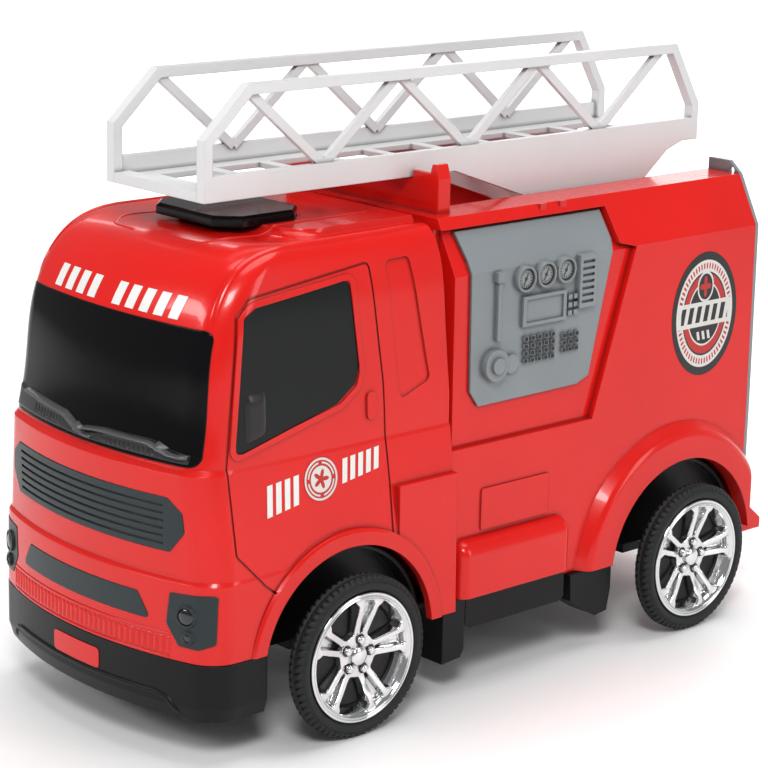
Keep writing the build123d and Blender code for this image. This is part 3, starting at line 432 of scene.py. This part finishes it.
def rimHeight(radius, turn, rimRadius):
    # height of the wheel face above its own back, worked out in millimetres: the highest at each place of
    # the split spokes, the barrel, the hub, its cap, the nuts and the lip, by the distance from the centre
    # and from the nearest spoke's middle line
    pitch = 2 * math.pi / wheel["spokeCount"]
    near = (turn - wheel["spokeTurn"] + pitch / 2) % pitch - pitch / 2
    sideways = np.abs(radius * np.sin(near)) * 1000.0
    reach = radius * 1000.0
    edge = rimRadius * 1000.0
    halfWidth = face["spokeHalf"] + face["spokeSpread"] * np.maximum(reach - 9.0, 0.0)
    halfWidth = halfWidth + face["spokeRoot"] * smoothStep((10.5 - reach) / 4.5)
    halfWidth = halfWidth + face["spokeTip"] * smoothStep((reach - 21.5) / 3.5)
    gap = (face["split"] + face["splitSpread"] * (reach - 9.5)) * smoothStep((reach - 9.0) / 3.0)
    gap = np.clip(gap, 0.0, face["splitMost"])
    crest = face["crest"] + face["crestRise"] * smoothStep((reach - 6.0) / 19.0)
    shoulder = smoothStep((halfWidth - sideways) / 1.1)
    bulge = np.cos(np.clip((sideways - (gap + halfWidth) / 2) / 2.4, -1.5, 1.5))
    ridge = crest + face["ridge"] * bulge - 0.3
    channel = 1.0 - smoothStep((sideways - gap) / 0.8)
    channel = channel * smoothStep((reach - 9.3) / 1.5) * smoothStep((24.6 - reach) / 1.2)
    spoke = ridge * shoulder - channel * face["splitDepth"]
    barrel = face["barrelRise"] * smoothStep((reach - 22.2) / (edge - 24.6))
    dome = np.sqrt(np.clip(1.0 - (reach / face["capRadius"]) ** 2, 0.0, 1.0))
    dome = face["capBase"] + face["capRise"] * dome
    dome = np.where(reach < face["capRadius"], dome, 0.0)
    nutReach = np.hypot(reach * np.cos(near) - face["nutCircle"], reach * np.sin(near))
    nut = face["nutBase"] + face["nutRise"] * np.sqrt(np.clip(1.0 - (nutReach / 1.75) ** 2, 0.0, 1.0))
    nut = np.where(nutReach < face["nutRadius"], nut, 0.0)
    inWell = (nutReach >= face["nutRadius"]) & (nutReach < face["nutWellRadius"])
    inWell = inWell & (reach < face["hubRadius"])
    hub = np.where(reach < face["hubRadius"], face["hubHeight"], 0.0)
    lip = face["lipHeight"] * smoothStep((reach - (edge - face["lipWidth"])) / 0.5)
    height = np.maximum.reduce((np.maximum(spoke, 0.0), barrel, hub, dome, nut, lip))
    height = height - np.where(inWell, face["nutWell"], 0.0)
    groove = face["groove"] * np.exp(-((reach - (edge - 1.5)) / face["grooveWidth"]) ** 2)
    return np.maximum(height - groove, 0.0) / 1000.0


def rimSurface(side, centre, backX, faceX, rimRadius):
    # polar grid over the wheel face: radius and turn angle give the height, then a rolled edge closes it
    turn = np.linspace(0.0, 2 * math.pi, wheel["rimSteps"], endpoint=False)[:, None]
    radius = np.linspace(0.00001, rimRadius - 0.0004, wheel["rimRings"])[None, :]
    height = rimHeight(radius + 0.0 * turn, turn + 0.0 * radius, rimRadius)
    height = np.minimum(height, abs(faceX - backX) - 0.0002)
    edge = height[:, -1:]
    reach = np.concatenate((radius + 0.0 * turn, np.full_like(edge, rimRadius - 0.00005),
                            np.full_like(edge, rimRadius - 0.00005), np.zeros_like(edge)), axis=1)
    back = (np.full_like(edge, 0.0003), np.full_like(edge, -0.00003))
    height = np.concatenate((height, edge - 0.0003, *back), axis=1)
    x = backX + side * (height + 0.00005)
    y = centre[1] + side * reach * np.cos(turn)
    z = centre[2] + reach * np.sin(turn)
    points = np.stack((x, y, z), axis=2)
    points[:, 0, 1] = centre[1]
    points[:, 0, 2] = centre[2]
    return points, height


for axle in ("front", "rear"):
    for sideName, side in (("left", 1), ("right", -1)):
        tyreNode = f"{axle}_{sideName}_tyre"
        low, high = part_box(tyreNode)
        rimLow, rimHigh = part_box(f"{axle}_{sideName}_rim")
        centre = (low + high) / 2
        radius = (high.z - low.z) / 2
        rimRadius = (rimHigh.z - rimLow.z) / 2
        outerX = high.x if side > 0 else low.x
        innerX = (low.x if side > 0 else high.x) + side * wheel["hubBehind"]
        body = f"{axle}_wheels"
        points = tyreSurface(side, centre, outerX, innerX, radius, rimRadius)
        mesh = closeMesh(surfaceMesh(f"{tyreNode}_ribbed", points, wrapU=True, wrapV=True))
        piece = addPiece(f"{tyreNode}_ribbed", mesh, materials["tyreBlack"], body, 40.0)
        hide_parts(tyreNode)
        backX, faceX = innerX + side * wheel["web"], outerX
        points, height = rimSurface(side, centre, backX, faceX, rimRadius)
        mesh = surfaceMesh(f"{axle}_{sideName}_wheel_face", points, wrapU=True)
        cell = (height[:, 1:] + height[:, :-1]) / 2
        cell = (cell + np.roll(cell, -1, axis=0)) / 2
        shadowed = (cell < wheel["shadowBelow"]).astype(np.int32)
        mesh.polygons.foreach_set("material_index", shadowed.ravel())
        closeMesh(mesh)
        piece = addPiece(f"{axle}_{sideName}_wheel_face", mesh,
                         (materials["rimChrome"], materials["wheelShadow"]), body, 50.0)
        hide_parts(f"{axle}_{sideName}_rim")
print("wheels")


def planeToSpace(axis, first, second, away):
    # two coordinates across the given axis, and the distance along it, as points in space
    parts = {"X": (away, first, second), "Y": (first, away, second), "Z": (first, second, away)}[axis]
    return np.stack([part + 0.0 * (first + second) for part in parts], axis=-1)


def meshPoints(mesh):
    points = np.empty(len(mesh.vertices) * 3, np.float32)
    mesh.vertices.foreach_get("co", points)
    return points.reshape(-1, 3)


def raiseAlong(piece, axis, sign, lift):
    # moves every point outwards along one axis by its own amount, with the faces turned outwards too
    points = meshPoints(piece.data)
    points[:, "XYZ".index(axis)] += sign * lift.ravel()
    piece.data.vertices.foreach_set("co", points.ravel())
    piece.data.update()
    normals = np.empty(len(piece.data.polygons) * 3, np.float32)
    piece.data.polygons.foreach_get("normal", normals)
    if sign * normals.reshape(-1, 3)[:, "XYZ".index(axis)].sum() < 0:
        piece.data.flip_normals()


outside = {"X": 0.088, "Y": -0.195, "Z": 0.222}
seat = {
    "strip": 0.00015, "cowl": 0.00012, "flutes": 0.0001, "mirror": 0.0002, "film": 0.00010, "disc": 0.00012}


def outwards(axis, side=1):
    # which way along the axis leads out of the body: the flanks face both ways, the nose backwards along Y
    return {"X": side, "Y": -1, "Z": 1}[axis]


def raisedStrip(name, node, axis, path, halfWidth, height, finish, steps=90):
    # a rounded bead: a path in the plane across the axis, resampled evenly, with a half-round profile whose
    # height is the square root of one less the square of the distance from its middle
    path = np.array(path, float)
    walked = np.concatenate(([0.0], np.cumsum(np.hypot(*np.diff(path, axis=0).T))))
    along = np.linspace(0.0, walked[-1], steps)
    first = np.interp(along, walked, path[:, 0])
    second = np.interp(along, walked, path[:, 1])
    kernel = np.array([1.0, 2.0, 3.0, 2.0, 1.0]) / 9.0
    first[2:-2] = np.convolve(first, kernel, "valid")
    second[2:-2] = np.convolve(second, kernel, "valid")
    slopeFirst, slopeSecond = np.gradient(first), np.gradient(second)
    length = np.hypot(slopeFirst, slopeSecond)
    across = np.linspace(-1.0, 1.0, 11)[None, :]
    acrossFirst = first[:, None] - halfWidth * across * (slopeSecond / length)[:, None]
    acrossSecond = second[:, None] + halfWidth * across * (slopeFirst / length)[:, None]
    mesh = surfaceMesh(name, planeToSpace(axis, acrossFirst, acrossSecond, outside[axis]))
    piece = addPiece(name, mesh, materials[finish], "truck_body")
    layOn(piece, node, axis)
    ends = np.clip(np.minimum(along, along[-1] - along) / (2.0 * halfWidth), 0.0, 1.0)[:, None]
    lift = height * np.sqrt(np.clip(1.0 - across ** 2, 0.0, 1.0)) * np.sqrt(ends) - seat["strip"]
    raiseAlong(piece, axis, outwards(axis), lift)
    return piece


trim = {"roofRail": 0.0016, "roofRailHeight": 0.0011, "roofRidge": 0.0010, "roofRidgeHeight": 0.0006,
        "bumperLip": 0.0012, "bumperLipHeight": 0.0010}
roofRail = [
    (0.0600, -0.1560), (0.0585, -0.1500), (0.0575, -0.1400), (0.0575, -0.1250), (0.0575, -0.0950),
    (0.0572, -0.0650), (0.0560, -0.0420)]
roofRidge = [
    (0.0120, -0.1400), (0.0280, -0.1385), (0.0325, -0.1320), (0.0330, -0.1200), (0.0330, -0.0900),
    (0.0325, -0.0600), (0.0310, -0.0480), (0.0250, -0.0440)]
bumperLip = [
    (-0.0585, 0.0215), (-0.0540, 0.0275), (-0.0480, 0.0290), (0.0480, 0.0290), (0.0540, 0.0275),
    (0.0585, 0.0215)]
for sideName, side in (("left", 1), ("right", -1)):
    raisedStrip(f"{sideName}_roof_rail", "cab_shell", "Z", [(side * x, y) for x, y in roofRail],
                trim["roofRail"], trim["roofRailHeight"], "redPlastic")
    raisedStrip(f"{sideName}_roof_ridge", "cab_shell", "Z", [(side * x, y) for x, y in roofRidge],
                trim["roofRidge"], trim["roofRidgeHeight"], "redPlastic")
raisedStrip("bumper_lip", "chassis", "Y", bumperLip, trim["bumperLip"], trim["bumperLipHeight"],
            "blackPlastic", steps=160)
print("raised lines")

cowl = {"left": -0.0585, "right": 0.0595, "foot": 0.1262, "lift": 0.0012, "end": 0.0012, "ventPitch": 0.0027,
        "ventDepth": 0.0010, "ventSpans": ((-0.040, -0.016), (0.014, 0.043))}
cowlTop = np.array([
    (-0.0585, 0.1372), (-0.0500, 0.1352), (-0.0140, 0.1334), (-0.0027, 0.1296), (0.0060, 0.1300),
    (0.0150, 0.1318), (0.0405, 0.1320), (0.0515, 0.1293), (0.0595, 0.1288)])


def addCowl():
    # a low panel under the windscreen: x runs across, the second parameter runs from its foot to its top
    # line, and the vents are sunk by a rounded square wave of x
    across = np.linspace(cowl["left"], cowl["right"], 320)[:, None]
    upward = np.linspace(0.0, 1.0, 26)[None, :]
    top = np.interp(across, cowlTop[:, 0], cowlTop[:, 1])
    height = cowl["foot"] + (top - cowl["foot"]) * upward
    mesh = surfaceMesh("windscreen_cowl", planeToSpace("Y", across, height, outside["Y"]))
    piece = addPiece("windscreen_cowl", mesh, materials["cowlGrey"], "truck_body")
    layOn(piece, "windscreen", "Y")
    border = np.minimum(np.minimum(upward, 1.0 - upward) * 7.0, 1.0)
    ends = np.clip(np.minimum(across - cowl["left"], cowl["right"] - across) / cowl["end"], 0.0, 1.0)
    inVents = sum(np.where((across > start) & (across < end), 1.0, 0.0) for start, end in cowl["ventSpans"])
    slot = smoothStep(2.2 * np.cos(2 * math.pi * across / cowl["ventPitch"]) - 0.2)
    window = smoothStep((upward - 0.22) / 0.1) * smoothStep((0.72 - upward) / 0.1)
    lift = cowl["lift"] * smoothStep(border) * ends - cowl["ventDepth"] * inVents * slot * window
    raiseAlong(piece, "Y", outwards("Y"), lift - seat["cowl"])


addCowl()
wiper = {"halfWidth": 0.00085, "height": 0.0026, "knuckleHalfWidth": 0.0015, "knuckleHeight": 0.0030}
wiperArms = {
    "left_wiper": [
        (-0.0500, 0.1355), (-0.0320, 0.1345), (-0.0140, 0.1335), (-0.0085, 0.1315), (-0.0027, 0.1293),
        (0.0030, 0.1283), (0.0075, 0.1279)],
    "right_wiper": [
        (0.0005, 0.1304), (0.0080, 0.1314), (0.0150, 0.1321), (0.0405, 0.1322), (0.0460, 0.1308),
        (0.0515, 0.1294), (0.0596, 0.1291)]}
for name, path in wiperArms.items():
    raisedStrip(name, "windscreen", "Y", path, wiper["halfWidth"], wiper["height"], "wiperGrey",
                steps=120)
    x, z = path[4]
    raisedStrip(name + "_knuckle", "windscreen", "Y", [(x - 0.003, z + 0.0012), (x + 0.003, z - 0.0008)],
                wiper["knuckleHalfWidth"], wiper["knuckleHeight"], "wiperGrey", steps=24)
print("cowl and wipers")

flutes = {"left": -0.0570, "right": 0.0555, "low": 0.0462, "high": 0.0542, "count": 36, "height": 0.0007,
          "railGap": 0.0009, "rail": 0.0008, "railHeight": 0.0006}


def addFlutes():
    # a band of upright half-round ribs: the lift is the square root of a raised cosine across each rib
    across = np.linspace(flutes["left"], flutes["right"], flutes["count"] * 12 + 1)[:, None]
    height = np.linspace(flutes["low"], flutes["high"], 18)[None, :]
    mesh = surfaceMesh("bumper_flutes", planeToSpace("Y", across, height, outside["Y"]))
    piece = addPiece("bumper_flutes", mesh, materials["redPlastic"], "truck_body", 60.0)
    layOn(piece, "cab_shell", "Y")
    turn = (across - flutes["left"]) / (flutes["right"] - flutes["left"]) * flutes["count"] * 2 * math.pi
    rib = np.sqrt(np.clip(0.5 - 0.5 * np.cos(turn), 0.0, 1.0))
    middle = (height - flutes["low"]) / (flutes["high"] - flutes["low"])
    border = np.sqrt(np.clip(np.minimum(middle, 1.0 - middle) * 6.0, 0.0, 1.0))
    raiseAlong(piece, "Y", outwards("Y"), flutes["height"] * rib * border - seat["flutes"])


addFlutes()
for label, away in (("low", -flutes["railGap"]), ("high", flutes["railGap"])):
    height = flutes[label] + away
    path = [(flutes["left"], height), (flutes["right"], height)]
    raisedStrip(f"flute_rail_{label}", "cab_shell", "Y", path, flutes["rail"], flutes["railHeight"],
                "redPlastic", steps=140)

mirror = {"front": -0.1455, "back": -0.1345, "low": 0.1325, "slope": 0.244, "high": 0.1535, "rise": 0.0016}
for sideName, side in (("left", 1), ("right", -1)):
    # a shallow pillow with rounded corners: the lift falls off along a rounded-square distance
    along = np.linspace(mirror["front"], mirror["back"], 40)[:, None]
    share = np.linspace(0.0, 1.0, 60)[None, :]
    foot = mirror["low"] + mirror["slope"] * (along - mirror["front"])
    height = foot + (mirror["high"] - foot) * share
    nearX = np.abs(2 * (along - mirror["front"]) / (mirror["back"] - mirror["front"]) - 1.0)
    nearZ = np.abs(2 * share - 1.0)
    distance = (nearX ** 5 + nearZ ** 7) ** (1 / 6)
    name = f"{sideName}_mirror"
    mesh = surfaceMesh(name, planeToSpace("X", along, height, side * outside["X"]))
    piece = addPiece(name, mesh, materials["mirrorGrey"], "truck_body")
    layOn(piece, f"{sideName}_side_window", "X")
    lift = mirror["rise"] * np.sqrt(np.clip(1.0 - distance ** 3, 0.0, 1.0)) - seat["mirror"]
    raiseAlong(piece, "X", side, lift)
print("flutes and mirrors")


def slantedBars(count, gapAfter, start, end, low, high, slant, fill=0.62):
    # upright bars between two places; low and high give the foot and the top at a place along the row
    slots = count + (1 if gapAfter else 0)
    pitch = (end - start) / slots
    first = np.linspace(0.0, 1.0, 6)[:, None]
    second = np.linspace(0.0, 1.0, 10)[None, :]
    bars = []
    for k in range(slots):
        if gapAfter and k == gapAfter:
            continue
        left = start + k * pitch
        along = left + first * pitch * fill + second * slant
        foot = np.interp(along, (start, end), low)
        top = np.interp(along, (start, end), high)
        bars.append((along, foot + (top - foot) * second))
    return bars


def addBars(name, node, axis, side, bars, finish="stickerWhite"):
    # a whole row of bars as one thin film that follows the wall
    away = outside[axis] * (side if axis == "X" else 1)
    mesh = joinGrids(name, [planeToSpace(axis, first, second, away) for first, second in bars])
    piece = addPiece(name, mesh, materials[finish], "truck_body")
    layOn(piece, node, axis)
    raiseAlong(piece, axis, outwards(axis, side), np.full(len(piece.data.vertices), seat["film"]))


def addDisc(name, node, axis, side, centre, half, material, slot, dome=0.0):
    # a flat disc in rings and spokes: the distance from the middle and the turn angle are its parameters,
    # and a dome adds a lift of the square root of one less the distance squared
    turn = np.linspace(0.0, 2 * math.pi, 96, endpoint=False)[:, None]
    reach = np.linspace(0.0, 1.0, 24)[None, :]
    facing = side if axis == "X" else 1
    first = centre[0] + half[0] * reach * np.cos(turn) * facing
    second = centre[1] + half[1] * reach * np.sin(turn)
    mesh = surfaceMesh(name, planeToSpace(axis, first, second, outside[axis] * facing), wrapU=True)
    closeMesh(mesh)
    piece = addPiece(name, mesh, material, "truck_body")
    points = meshPoints(piece.data)
    flat = np.delete(points, "XYZ".index(axis), axis=1)
    distance = np.hypot((flat[:, 0] - centre[0]) / half[0], (flat[:, 1] - centre[1]) / half[1])
    layOn(piece, node, axis)
    lift = seat["disc"] + dome * np.sqrt(np.clip(1.0 - distance ** 2, 0.0, 1.0))
    raiseAlong(piece, axis, outwards(axis, side), lift)


def above(tree, value, threshold):
    return maths(tree, "GREATER_THAN", value, threshold)


def below(tree, value, threshold):
    return maths(tree, "LESS_THAN", value, threshold)


def times(tree, first, second):
    return maths(tree, "MULTIPLY", first, second)


def between(tree, value, low, high):
    return times(tree, above(tree, value, low), below(tree, value, high))


def stripes(tree, value, count, limit):
    # on where the sine of so many times the value is over a limit
    return above(tree, maths(tree, "SINE", times(tree, value, count)), limit)


def makeDiscPlaces():
    # turns the disc's own two parameters into distance, turn angle and flat places across it
    group, start, end = newGroup("discPlaces", [], [
        ("Reach", "NodeSocketFloat"), ("Turn", "NodeSocketFloat"), ("Across", "NodeSocketFloat"),
        ("Up", "NodeSocketFloat")])
    surface = group.nodes.new("ShaderNodeUVMap")
    surface.uv_map = "surface"
    apart = group.nodes.new("ShaderNodeSeparateXYZ")
    group.links.new(surface.outputs["UV"], apart.inputs[0])
    turn = maths(group, "MULTIPLY", apart.outputs["X"], 2 * math.pi)
    group.links.new(apart.outputs["Y"], end.inputs["Reach"])
    group.links.new(turn, end.inputs["Turn"])
    for label, operation in (("Across", "COSINE"), ("Up", "SINE")):
        wave = maths(group, operation, turn)
        group.links.new(times(group, wave, apart.outputs["Y"]), end.inputs[label])
    return group


discPlaces = makeDiscPlaces()
inkRed, inkWhite = (0.62, 0.02, 0.016, 1.0), (0.86, 0.84, 0.82, 1.0)
inkBlack = (0.012, 0.011, 0.012, 1.0)


def rosette(tree, across, up, centreUp, size, petals):
    # a small flower: inside where the distance is under a wavy limit of the turn angle
    lifted = maths(tree, "SUBTRACT", up, centreUp)
    squares = maths(tree, "ADD", times(tree, across, across), times(tree, lifted, lifted))
    distance = maths(tree, "SQRT", squares)
    angle = maths(tree, "ARCTAN2", lifted, across)
    wave = maths(tree, "COSINE", times(tree, angle, petals))
    limit = maths(tree, "MULTIPLY_ADD", wave, size * 0.32, size * 0.68)
    return distance, below(tree, distance, limit)


def stickerFinish(name, paint):
    # printed film: the colours come from paint(), under the same painted edge highlight, painted crevice
    # shade and dust as the rest
    material = plasticFinish(name, finishes["stickerWhite"])
    tree = material.node_tree
    shader = tree.nodes["Principled BSDF"]
    dustAndPaintedLight = shader.inputs["Base Color"].links[0].from_node
    places = placeGroup(tree, discPlaces, {})
    colour = paint(tree, places.outputs)
    mixed = mixColour(tree, 1.0, dustAndPaintedLight.outputs["Result"], colour, "MULTIPLY")
    tree.links.new(mixed, shader.inputs["Base Color"])
    return material


def paintDoorBadge(tree, at):
    # red with a pale rim, a notched ring and a red flower on a pale middle
    reach, across, up = at["Reach"], at["Across"], at["Up"]
    colour = mixColour(tree, between(tree, reach, 0.86, 0.96), inkRed, inkWhite)
    quarter = maths(tree, "ABSOLUTE", maths(tree, "SINE", times(tree, at["Turn"], 2.0)))
    ring = times(tree, between(tree, reach, 0.70, 0.78), above(tree, quarter, 0.28))
    colour = mixColour(tree, ring, colour, inkWhite)
    colour = mixColour(tree, below(tree, reach, 0.60), colour, inkWhite)
    return mixColour(tree, rosette(tree, across, up, 0.0, 0.46, 5.0)[1], colour, inkRed)


def paintFlankRoundel(tree, at):
    # rings from the rim inwards, then a flower at the top, a barred band across and small marks under it
    reach, across, up = at["Reach"], at["Across"], at["Up"]
    colour = mixColour(tree, above(tree, reach, 0.87), inkWhite, inkBlack)
    ticks = times(tree, stripes(tree, at["Turn"], 58.0, 0.1), between(tree, reach, 0.73, 0.82))
    colour = mixColour(tree, ticks, colour, inkRed)
    colour = mixColour(tree, below(tree, reach, 0.68), colour, inkBlack)
    colour = mixColour(tree, between(tree, reach, 0.52, 0.65), colour, inkRed)
    colour = mixColour(tree, between(tree, reach, 0.49, 0.52), colour, inkWhite)
    distance, flower = rosette(tree, across, up, 0.44, 0.17, 4.0)
    colour = mixColour(tree, below(tree, distance, 0.25), colour, inkWhite)
    colour = mixColour(tree, below(tree, distance, 0.21), colour, inkBlack)
    colour = mixColour(tree, flower, colour, inkRed)
    slanted = maths(tree, "MULTIPLY_ADD", across, 26.0, times(tree, up, -7.0))
    band = times(tree, between(tree, up, -0.2, 0.2), below(tree, reach, 0.87))
    colour = mixColour(tree, band, colour, inkWhite)
    inner = times(tree, between(tree, up, -0.13, 0.13), between(tree, across, -0.72, 0.72))
    colour = mixColour(tree, times(tree, stripes(tree, slanted, 1.0, -0.15), inner), colour, inkBlack)
    dots = times(tree, between(tree, up, -0.42, -0.28), between(tree, across, -0.22, 0.22))
    slanted = maths(tree, "MULTIPLY_ADD", across, 40.0, times(tree, up, 12.0))
    return mixColour(tree, times(tree, dots, stripes(tree, slanted, 1.0, 0.0)), colour, inkWhite)


sticker = {
    "forehead": {"start": -0.0400, "end": 0.0470, "low": (0.1815, 0.1815), "high": (0.1905, 0.1905)},
    "doorFront": {"start": -0.1362, "end": -0.1175, "low": (0.1010, 0.1040), "high": (0.1140, 0.1160)},
    "doorBack": {"start": -0.0955, "end": -0.0735, "low": (0.1080, 0.1115), "high": (0.1182, 0.1205)},
    "doorBadge": {"centre": (-0.1067, 0.1120), "half": (0.0092, 0.0092)},
    "flankRoundel": {"centre": (0.1303, 0.1490), "half": (0.0228, 0.0295)}}
addBars("forehead_bars", "cab_shell", "Y", 1, slantedBars(9, 4, slant=0.0012, **sticker["forehead"]))
doorBadge = stickerFinish("doorBadgeFilm", paintDoorBadge)
flankRoundel = stickerFinish("flankRoundelFilm", paintFlankRoundel)
for sideName, side in (("left", 1), ("right", -1)):
    frontGroup = slantedBars(4, 0, slant=0.0010, **sticker["doorFront"])
    backGroup = slantedBars(5, 0, slant=0.0010, **sticker["doorBack"])
    addBars(f"{sideName}_door_bars", "cab_shell", "X", side, frontGroup + backGroup)
    addDisc(f"{sideName}_door_badge", "cab_shell", "X", side, **sticker["doorBadge"], material=doorBadge,
            slot="red_plastic")
    addDisc(f"{sideName}_flank_roundel", "rear_shell", "X", side, **sticker["flankRoundel"],
            material=flankRoundel, slot="red_plastic")
print("stickers")


def paintDial(tree, at):
    # a pale face with a dark rim, tick marks and a slanted needle
    reach, across, up = at["Reach"], at["Across"], at["Up"]
    pale, dark = (0.34, 0.36, 0.37, 1.0), (0.025, 0.027, 0.03, 1.0)
    colour = mixColour(tree, above(tree, reach, 0.84), pale, dark)
    ticks = times(tree, stripes(tree, at["Turn"], 16.0, 0.35), between(tree, reach, 0.58, 0.78))
    colour = mixColour(tree, ticks, colour, dark)
    aside = maths(tree, "ABSOLUTE", maths(tree, "SUBTRACT", across, times(tree, up, 0.5)))
    needle = times(tree, below(tree, aside, 0.09), below(tree, reach, 0.6))
    colour = mixColour(tree, needle, colour, dark)
    return mixColour(tree, below(tree, reach, 0.2), colour, dark)


def keyPlaces(corner, pitch, rows, columns):
    # the lower front corners of a block of keys
    return [(corner[0] + pitch[0] * column, corner[1] + pitch[1] * row)
            for row in range(rows) for column in range(columns)]


panelDial = stickerFinish("panelDialFilm", paintDial)
panelMarks = {
    "dialRadius": 0.0046, "dials": ((0.01025, 0.1808), (0.02275, 0.1813), (0.03525, 0.1818)),
    "keyInset": 0.0002, "keySize": 0.0021, "keyHeight": 0.85,
    "keys": keyPlaces((0.01075, 0.1428), (0.0042, 0.0033), 4, 5)
    + keyPlaces((0.03475, 0.1443), (0.0040, 0.0033), 3, 3)}
lenses = {"large": {"centre": (0.0628, 0.0641), "radius": 0.0036},
          "small": {"centre": (0.0636, 0.0553), "radius": 0.0021}}
lensDome = 7 / 18
for sideName, side in (("left", 1), ("right", -1)):
    panel = f"{sideName}_control_panel"
    for k, centre in enumerate(panelMarks["dials"]):
        addDisc(f"{sideName}_dial_face_{k + 1}", panel, "X", side, centre, (panelMarks["dialRadius"],) * 2,
                panelDial, "grey_panel")
    step = np.linspace(panelMarks["keyInset"], panelMarks["keySize"], 4)
    along, upward = np.meshgrid(step, panelMarks["keyHeight"] * step, indexing="ij")
    keys = [(y + along, z + upward) for y, z in panelMarks["keys"]]
    addBars(f"{sideName}_panel_keys", panel, "X", side, keys, "keyBlack")
    for label, lens in lenses.items():
        x, z = lens["centre"]
        addDisc(f"{sideName}_{label}_lens", f"{sideName}_headlight", "Y", side, (side * x, z),
                (lens["radius"],) * 2, materials["lensGlass"], "dark_insert", lensDome * lens["radius"])
print("dials, keys and lenses")


backdrop = {"half": 3.0, "sweepFrom": 1.6, "sweep": 0.9}


def addFloor():
    # a pale sheet that lies flat under the truck and sweeps up far behind it, by the square of the distance
    across = np.linspace(-backdrop["half"], backdrop["half"], 9)
    along = np.linspace(-backdrop["half"], backdrop["half"], 61)
    x, y = np.meshgrid(across, along, indexing="ij")
    z = backdrop["sweep"] * np.maximum(y - backdrop["sweepFrom"], 0.0) ** 2
    mesh = surfaceMesh("floor", np.stack((x, y, z), axis=2)[:, ::-1])
    mesh.shade_smooth()
    floor = bpy.data.objects.new("floor", mesh)
    scene.collection.objects.link(floor)
    material = bpy.data.materials.new("floorPaper")
    material.use_nodes = True
    tree = material.node_tree
    place = tree.nodes.new("ShaderNodeTexCoord").outputs["Object"]
    fleck = noise(tree, place, 900.0, 3.0)
    colour = mixColour(tree, fleck, (0.91, 0.91, 0.91, 1.0), (0.94, 0.94, 0.94, 1.0))
    tree.links.new(colour, tree.nodes["Principled BSDF"].inputs["Base Color"])
    tree.nodes["Principled BSDF"].inputs["Roughness"].default_value = 0.55
    mesh.materials.append(material)


def addLight(name, place, target, size, power):
    # a soft rectangular lamp that faces its target
    data = bpy.data.lights.new(name, "AREA")
    data.shape = "RECTANGLE"
    data.size, data.size_y = size
    data.energy = power
    light = bpy.data.objects.new(name, data)
    light.location = place
    light.rotation_euler = (Vector(target) - Vector(place)).to_track_quat("-Z", "Y").to_euler()
    scene.collection.objects.link(light)


camera = {"place": (0.80766, -0.74503, 0.40578), "azimuth": 47.6425, "elevation": 14.5435, "roll": 1.3007,
          "lens": 116.19}


def addCamera():
    # stands front left of the truck and looks down at it slightly
    turn, rise, roll = (math.radians(camera[key]) for key in ("azimuth", "elevation", "roll"))
    back = Vector((math.sin(turn) * math.cos(rise), -math.cos(turn) * math.cos(rise), math.sin(rise)))
    right = Vector((0, 0, 1)).cross(back).normalized()
    up = back.cross(right)
    levelRight, levelUp = right.copy(), up.copy()
    right = levelRight * math.cos(roll) + levelUp * math.sin(roll)
    up = levelUp * math.cos(roll) - levelRight * math.sin(roll)
    data = bpy.data.cameras.new("camera")
    data.lens = camera["lens"]
    data.sensor_width = 36.0
    data.clip_end = 20.0
    holder = bpy.data.objects.new("camera", data)
    scene.collection.objects.link(holder)
    matrix = holder.matrix_world.copy()
    for row in range(3):
        for column, axis in enumerate((right, up, back, Vector(camera["place"]))):
            matrix[row][column] = axis[row]
    holder.matrix_world = matrix
    scene.camera = holder


addFloor()
lights = {
    "keySoftbox": {"place": (1.2, -1.1, 1.6), "target": (0, 0, 0.1), "size": (0.55, 0.55), "power": 24.0},
    "sideSoftbox": {"place": (1.6, 0.7, 0.7), "target": (0, 0, 0.12), "size": (0.5, 1.1), "power": 7.0},
    "frontSoftbox": {"place": (-0.7, -1.7, 1.1), "target": (0, 0, 0.1), "size": (1.1, 0.3), "power": 13.0},
    "topSoftbox": {"place": (0.0, 0.2, 1.7), "target": (0, 0, 0.1), "size": (1.2, 1.2), "power": 16.0},
    "backdropSoftbox": {
        "place": (-1.6, 1.5, 1.5), "target": (-2.0, 2.1, 0.0), "size": (2.2, 2.2), "power": 60.0}}
for name, light in lights.items():
    addLight(name, **light)
world = bpy.data.worlds.new("studio")
world.use_nodes = True
world.node_tree.nodes["Background"].inputs["Color"].default_value = (1.0, 1.0, 1.0, 1.0)
world.node_tree.nodes["Background"].inputs["Strength"].default_value = 0.34
scene.world = world
scene.view_settings.view_transform = "Standard"
scene.view_settings.exposure = -0.14
scene.view_settings.gamma = 0.92
addCamera()
print("room, light and camera")
